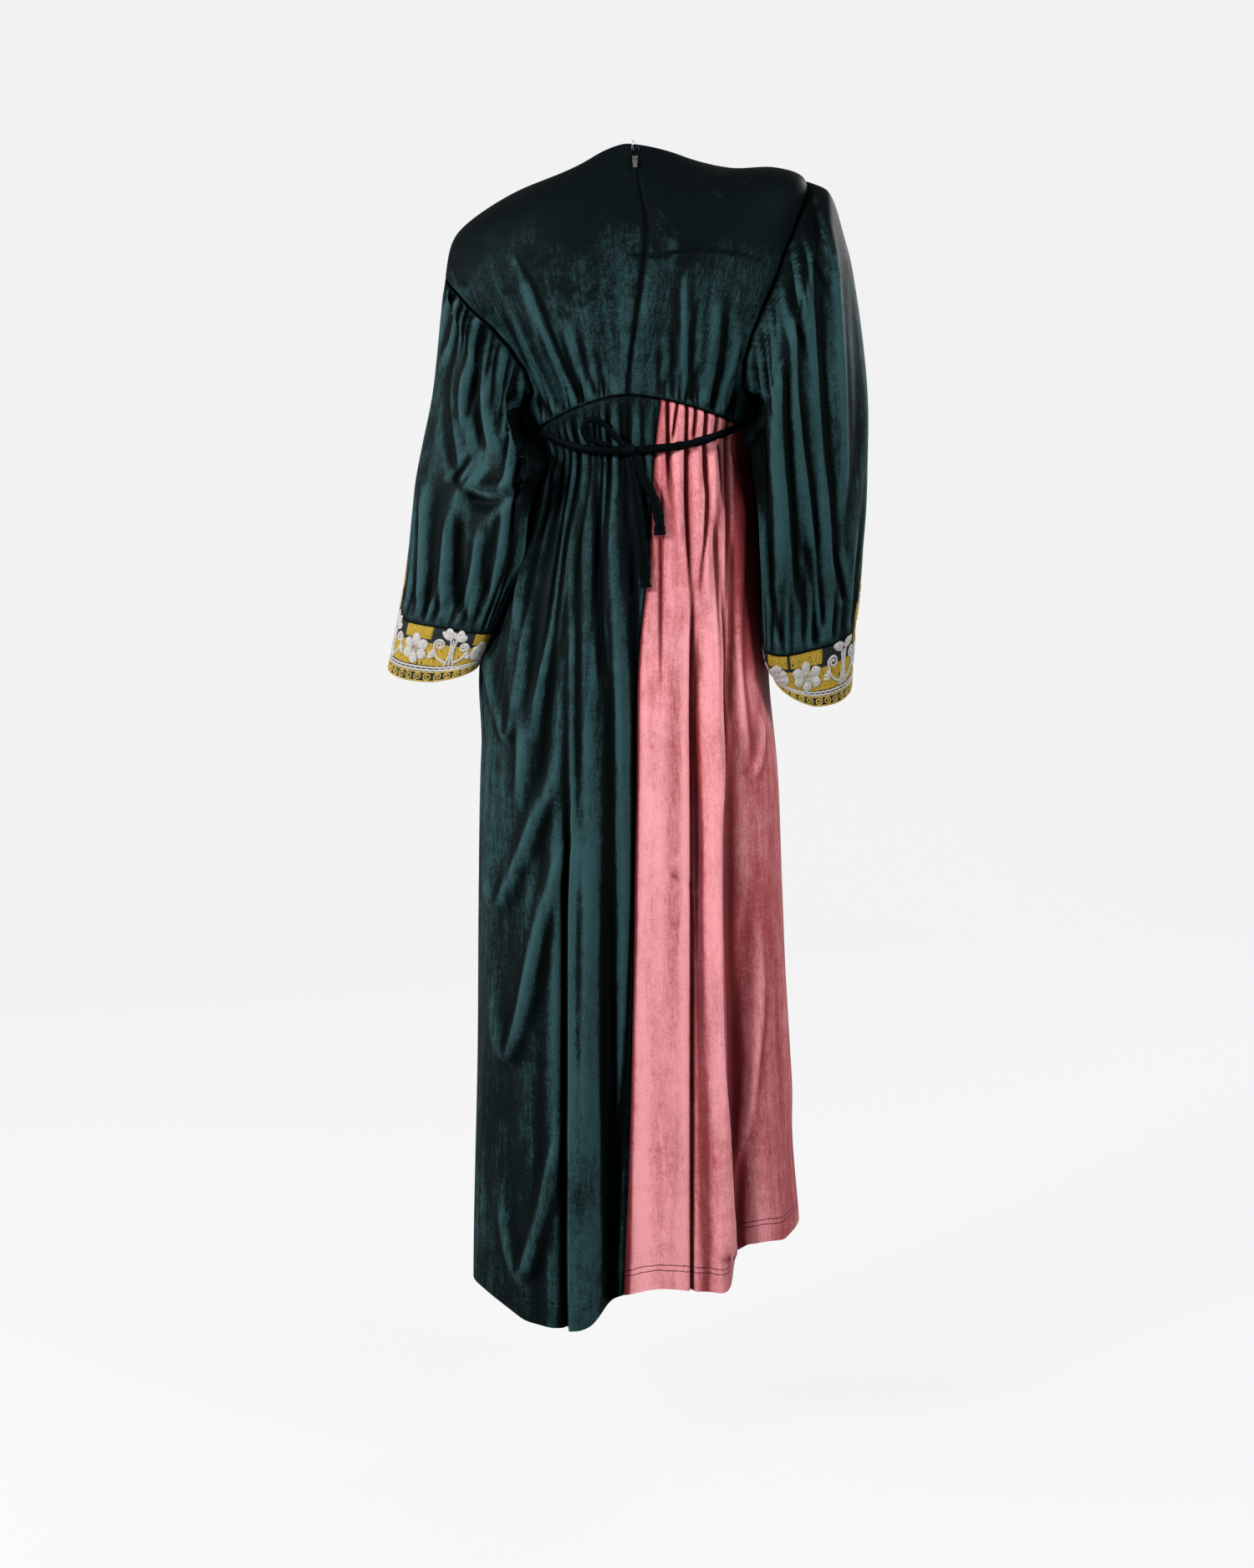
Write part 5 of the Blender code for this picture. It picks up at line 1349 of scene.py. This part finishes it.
def palmetteShapes(size):
    # a fan of five petals on a stem of three cords, with a scroll on each side and small leaves at their ends
    petals, cords = [], []
    for degrees, length in ((-62, 13), (-33, 16), (0, 17), (33, 16), (62, 13)):
        way = np.array([math.sin(math.radians(degrees)), math.cos(math.radians(degrees))])
        root = np.array([0, 25.0])
        petals.append(petalShape((root + way * 2) * size, (root + way * length) * size, 6.6 * size))
    steps = 14
    for side in (-1, 0, 1):
        line = smoothPath([(side * 3.8, 0.5), (side * 1.8, 9), (side * 1.5, 18), (side * 2.6, 26)], steps)
        cords.append((line * size, 2.1 * size))
    for side in (-1, 1):
        arm = smoothPath([(side * 2.5, 3), (side * 9, 6), (side * 14, 12), (side * 15.6, 19)], steps)
        coil = spiralShape((side * 11.2, 20.0), 4.6, 1.5, 0 if side > 0 else 180, side)
        cords.append((np.concatenate([arm, coil[1:]]) * size, 2.3 * size))
        for degrees in (35, 65, 95):
            way = np.array([side * math.sin(math.radians(degrees)), math.cos(math.radians(degrees))])
            root = np.array([side * 13.0, 9.0])
            petals.append(petalShape((root + way) * size, (root + way * 7.5) * size, 3.4 * size))
    return petals, cords


def makeEmbroidery(side, settings, white, yellow):
    lookup = cuffLookup(side, settings)
    degrees = np.linspace(0, 360, 721)
    top = (1 - cuffLine(degrees)) * 1000 * cloth["armLength"]
    whites, yellows = [], []
    around, cordThick, cordSides = settings["around"], settings["cordThick"], settings["cordSides"]

    def lay(target, line, wide, thick, sides, s0=0.0, h0=0.0):
        # a cord or a petal on the cuff, kept below the cuff's upper edge
        s, h = line[:, 0] + s0, line[:, 1] + h0
        h = np.minimum(h, np.interp(s / around * 360 % 360, degrees, top) - settings["margin"])
        path, out = onCuff(lookup, s, h, settings["lift"], settings)
        target.append((path, out, np.asarray(wide) / 1000, thick, sides))

    for kind, angle, h0, size in settings[side]:
        s0 = angle / 360 * around
        size = size * settings["size"]
        petals, cords = flowerShapes(size) if kind == "flower" else palmetteShapes(size)
        for line, wide in petals:
            thick = settings["petalThick"] * np.clip(wide / max(wide.max(), 1e-6), 0.15, 1)
            lay(whites, line, np.maximum(wide, 0.15), thick, settings["petalSides"], s0, h0)
        for line, wide in cords:
            lay(whites, line, wide / 2, cordThick * 1.5, cordSides, s0, h0)
    s = np.linspace(0, around, 301)
    for h, wide in settings["whiteBands"]:
        wave = 0.25 * np.sin(s * 0.9 + h)
        lay(whites, np.stack([s, h + wave], -1), wide / 2, cordThick, cordSides)
    for h in settings["yellowBands"]:
        lay(yellows, np.stack([s, h + 0 * s], -1), 0.8, cordThick, cordSides)
    for index in range(settings["scrolls"]):
        flip = 1 if index % 2 else -1
        coil = spiralShape((0, 6.0), 4.9, 1.6, 100 * flip, flip)
        lay(yellows, coil, 0.85, cordThick, cordSides, index * settings["edgeStep"])
    made = (tubes(f"cuff_{side}_white", whites, (white,)), tubes(f"cuff_{side}_yellow", yellows, (yellow,)))
    for piece in made:
        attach(piece, "dress")
    return made


whiteThread = thread("white thread", (0.62, 0.60, 0.57), motifSettings["rib"])
yellowThread = thread("yellow thread", (0.60, 0.42, 0.05), motifSettings["rib"])
embroidery = [makeEmbroidery(side, motifSettings, whiteThread, yellowThread) for side in ("left", "right")]
print("embroidery made")

# The tie, a narrow velvet tube, lightly crushed: round the waist, a loop, a knot and two tails.
# Lifts are metres off the skirt's rings.
tieSettings = {
    "width": 0.0092, "thick": 0.0042, "lifts": {"left": 0.0060, "right": 0.0050}, "span": (38.0, 151.0),
    "knotSize": (0.0165, 0.0110, 0.0150), "knotX": -0.0020, "knotZ": -0.3035, "knotLift": 0.0068,
    "loopLift": 0.0085, "loopWidth": 0.0068, "tailLift": 0.0053, "crossingLift": 0.0023,
    "tailEnds": {"short": 0.0130, "long": 0.0135}, "points": 110, "sides": 20, "knotClear": 0.004,
    "swell": 0.05, "swells": (3, 5, 8, 13), "knotRows": 41, "knotSides": 60, "mapRadius": 0.008,
    "roundGroove": (0.10, 0.16), "sideGroove": (0.07, 0.12),
    "seeds": {"left": 51, "right": 52, "loop": 53, "short": 54, "long": 55},
}


def onSkirt(x, z, lift):
    # points that stand off the skirt's back by the lift, and the way out of the skirt at each
    angle = np.linspace(40, 150, 1101)
    rings = skirtAt(*np.meshgrid(angle, z))
    found = np.array([np.interp(-place, -ring, angle) for place, ring in zip(x, rings[..., 0])])
    aroundWay = skirtAt(found + turnStep, z) - skirtAt(found - turnStep, z)
    out = unit(np.cross(aroundWay, (0, 0, 1)))
    return skirtAt(found, z) + out * np.reshape(lift, (-1, 1)), out


def tieTube(path, out, width, endWidth, name, settings):
    # the width swells and shrinks a little along the way, as a turned tube's does
    chance = np.random.default_rng(settings["seeds"][name])
    share = np.linspace(0, 1, len(path))
    swell = sum(np.sin(2 * np.pi * (count * share + chance.random())) for count in settings["swells"])
    swell = settings["swell"] * swell
    halfWide = np.interp(share, (0, 1), (width / 2, endWidth / 2)) * (1 + swell)
    halfThick = settings["thick"] / 2 * (1 - 0.5 * swell)
    return path, out, halfWide, halfThick, settings["sides"]


def makeTie(settings):
    angle = np.linspace(*settings["span"], settings["points"])
    z = read(tieLine, "z", angle)
    x = skirtAt(angle, z)[:, 0]
    width, loopWidth, parts = settings["width"], settings["loopWidth"], []
    beside = x - settings["knotX"]
    for side, keep in (("left", beside > settings["knotClear"]), ("right", beside < -settings["knotClear"])):
        path, out = onSkirt(x[keep], z[keep], np.full(keep.sum(), settings["lifts"][side]))
        parts.append(tieTube(path, out, width, width, side, settings))
    line = smoothPath(loopRoute, settings["points"])
    path, out = onSkirt(line[:, 0], line[:, 1], np.full(len(line), settings["loopLift"]))
    parts.append(tieTube(path, out, loopWidth, loopWidth, "loop", settings))
    band = tubes("tie_band", parts, (green,))
    tails = []
    for name, points, crossing in (("short", shortTail, 0), ("long", longTail, settings["crossingLift"])):
        line = smoothPath(points, settings["points"])
        lift = settings["tailLift"] + crossing * np.linspace(1, 0, len(line))
        path, out = onSkirt(line[:, 0], line[:, 1], lift)
        tube = tieTube(path, out, width, settings["tailEnds"][name], name, settings)
        tails.append((tubes(f"tie_tail_{name}_cloth", [tube], (green,)), path))
    return band, tails


def makeKnot(settings):
    # a flattened ball with grooves where the tie wraps round itself
    rows, sides = settings["knotRows"], settings["knotSides"]
    lift = np.radians(np.linspace(-90, 90, rows))[:, None]
    turn = np.radians(360 / sides * np.arange(sides))[None]
    deep, wide = settings["roundGroove"]
    grooves = 1 - deep * bell(np.sin(turn - 0.5) * np.cos(lift) + 0.35 * np.sin(lift), wide)
    deep, wide = settings["sideGroove"]
    grooves = grooves - deep * bell(np.cos(turn + 0.4) * np.cos(lift) - 0.3, wide)
    rings = np.stack([np.cos(lift) * np.cos(turn), np.cos(lift) * np.sin(turn), np.sin(lift) + 0 * turn], -1)
    rings = rings * grooves[..., None]
    rings[0], rings[-1] = rings[0].mean(axis=0), rings[-1].mean(axis=0)
    centre, _ = onSkirt(np.array([settings["knotX"]]), np.array([settings["knotZ"]]), settings["knotLift"])
    points = rings * np.array(settings["knotSize"]) / 2 + centre[0]
    flat = np.stack([turn + 0 * lift, lift + 0 * turn], -1).reshape(-1, 2) * settings["mapRadius"]
    # these rings rise, so each quad is turned round to face outwards
    faces = ringFaces(rows, sides)[:, [0, 3, 2, 1]]
    return makeMesh("tie_knot_cloth", points.reshape(-1, 3), faces, (green,), flat)


tieBand, tieTails = makeTie(tieSettings)
standFor(tieBand, "green_velvet", "tie_left", "tie_right", "tie_loop")
standFor(tieTails[0][0], "green_velvet", "tie_tail_short")
standFor(tieTails[1][0], "green_velvet", "tie_tail_long")
standFor(makeKnot(tieSettings), "green_velvet", "tie_knot")
print("tie made")

# The hook and its thread eye at the neck: x and z are metres from the zip's top end.
hookSettings = {
    "wire": 0.0009, "thread": 0.0011, "lift": 0.0013, "points": 40, "sides": 8,
    "hook": ((0.0012, -0.0060), (0.0010, -0.0010), (0.0007, 0.0020), (-0.0005, 0.0033), (-0.0016, 0.0022),
             (-0.0014, 0.0004)),
    "eye": ((-0.0034, -0.0052), (-0.0052, -0.0034), (-0.0072, -0.0050), (-0.0058, -0.0072)),
}


def makeHook(name, route, width, finish, settings):
    # a wire along the route, which follows the line of the zip at the neck
    rise = np.linspace(0.8, 1.0, 60)
    line = bodiceSurface(np.full_like(rise, cloth["zipAngles"][1]), rise)
    flat = smoothPath(route, settings["points"]) + line[-1][[0, 2]]
    y = np.interp(flat[:, 1], line[:, 2], line[:, 1]) + settings["lift"]
    path = np.stack([flat[:, 0], y, flat[:, 1]], -1)
    out = np.tile([0.0, 1.0, 0.0], (len(path), 1))
    piece = tubes(name, [(path, out, width / 2, width / 2, settings["sides"])], (finish,))
    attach(piece, "dress")


makeHook("neck_hook", hookSettings["hook"], hookSettings["wire"], zipMetal, hookSettings)
makeHook("neck_thread_eye", hookSettings["eye"], hookSettings["thread"], tapeCloth, hookSettings)
print("hook made")

# The zip's tape, slider and pull tab keep the solid's own shapes.
for name, finish in (("zip_tape", tapeCloth), ("zip_slider", zipMetal), ("zip_pull_tab", zipMetal)):
    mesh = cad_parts[name].data
    mesh.materials.clear()
    mesh.materials.append(finish)
print("zip finished")

# The studio: a pale sweep under and behind the dress, and large soft lamps.
studio = {
    "floor": -1.52, "wide": 14.0, "front": 6.0, "wall": -4.5, "bend": 1.6, "top": 6.0, "glow": 0.835,
    "colour": 0.08, "world": 0.22,
    "lamps": (
        ("left lamp", (2.6, 2.4, 1.1), (0.0, 0.0, -0.60), 0.9, 150.0),
        ("right lamp", (-2.6, 1.8, 0.9), (0.0, 0.0, -0.6), 1.2, 85.0),
        ("front lamp", (-2.0, -2.6, 0.8), (0.0, 0.0, -0.6), 1.2, 40.0),
        ("rim lamp", (2.8, 0.2, -0.2), (0.2, 0.0, -0.6), 0.8, 42.0),
    ),
}


def makeStudio(settings):
    # a floor that bends up into a wall through a quarter circle
    paint = Paint("studio paper")
    paper = paint.surface({
        "Base Color": (settings["colour"],) * 3 + (1.0,), "Roughness": 1.0, "Specular IOR Level": 0.0,
        "Emission Color": (1.0, 1.0, 1.0, 1.0), "Emission Strength": settings["glow"],
    })
    finish = paint.done(paper)
    turn = np.radians(np.linspace(0, 90, 25))
    wall, bend, half = settings["wall"], settings["bend"], settings["wide"] / 2
    y = np.concatenate([[settings["front"]], wall + bend * (1 - np.sin(turn)), [wall]])
    z = np.concatenate([[0], bend * (1 - np.cos(turn)), [settings["top"]]]) + settings["floor"]
    points = np.concatenate([np.stack([np.full_like(y, side * half), y, z], -1) for side in (-1, 1)])
    a = np.arange(len(y) - 1)
    faces = np.stack([a, a + 1, a + 1 + len(y), a + len(y)], -1)
    mesh = bpy.data.meshes.new("sweep")
    mesh.from_pydata(points.tolist(), [], faces.tolist())
    mesh.materials.append(finish)
    mesh.shade_smooth()
    sweep = bpy.data.objects.new("sweep", mesh)
    bpy.context.scene.collection.objects.link(sweep)
    sweep.visible_diffuse = False
    sweep.visible_glossy = False
    for name, place, aim, size, power in settings["lamps"]:
        lamp = bpy.data.lights.new(name, "AREA")
        lamp.shape, lamp.size, lamp.energy = "DISK", size, power
        holder = bpy.data.objects.new(name, lamp)
        bpy.context.scene.collection.objects.link(holder)
        holder.location = place
        holder.rotation_euler = (Vector(aim) - Vector(place)).to_track_quat("-Z", "Y").to_euler()
    world = bpy.data.worlds.new("studio")
    world.use_nodes = True
    world.node_tree.nodes["Background"].inputs["Color"].default_value = (settings["world"],) * 3 + (1.0,)
    bpy.context.scene.world = world


makeStudio(studio)
print("studio made")
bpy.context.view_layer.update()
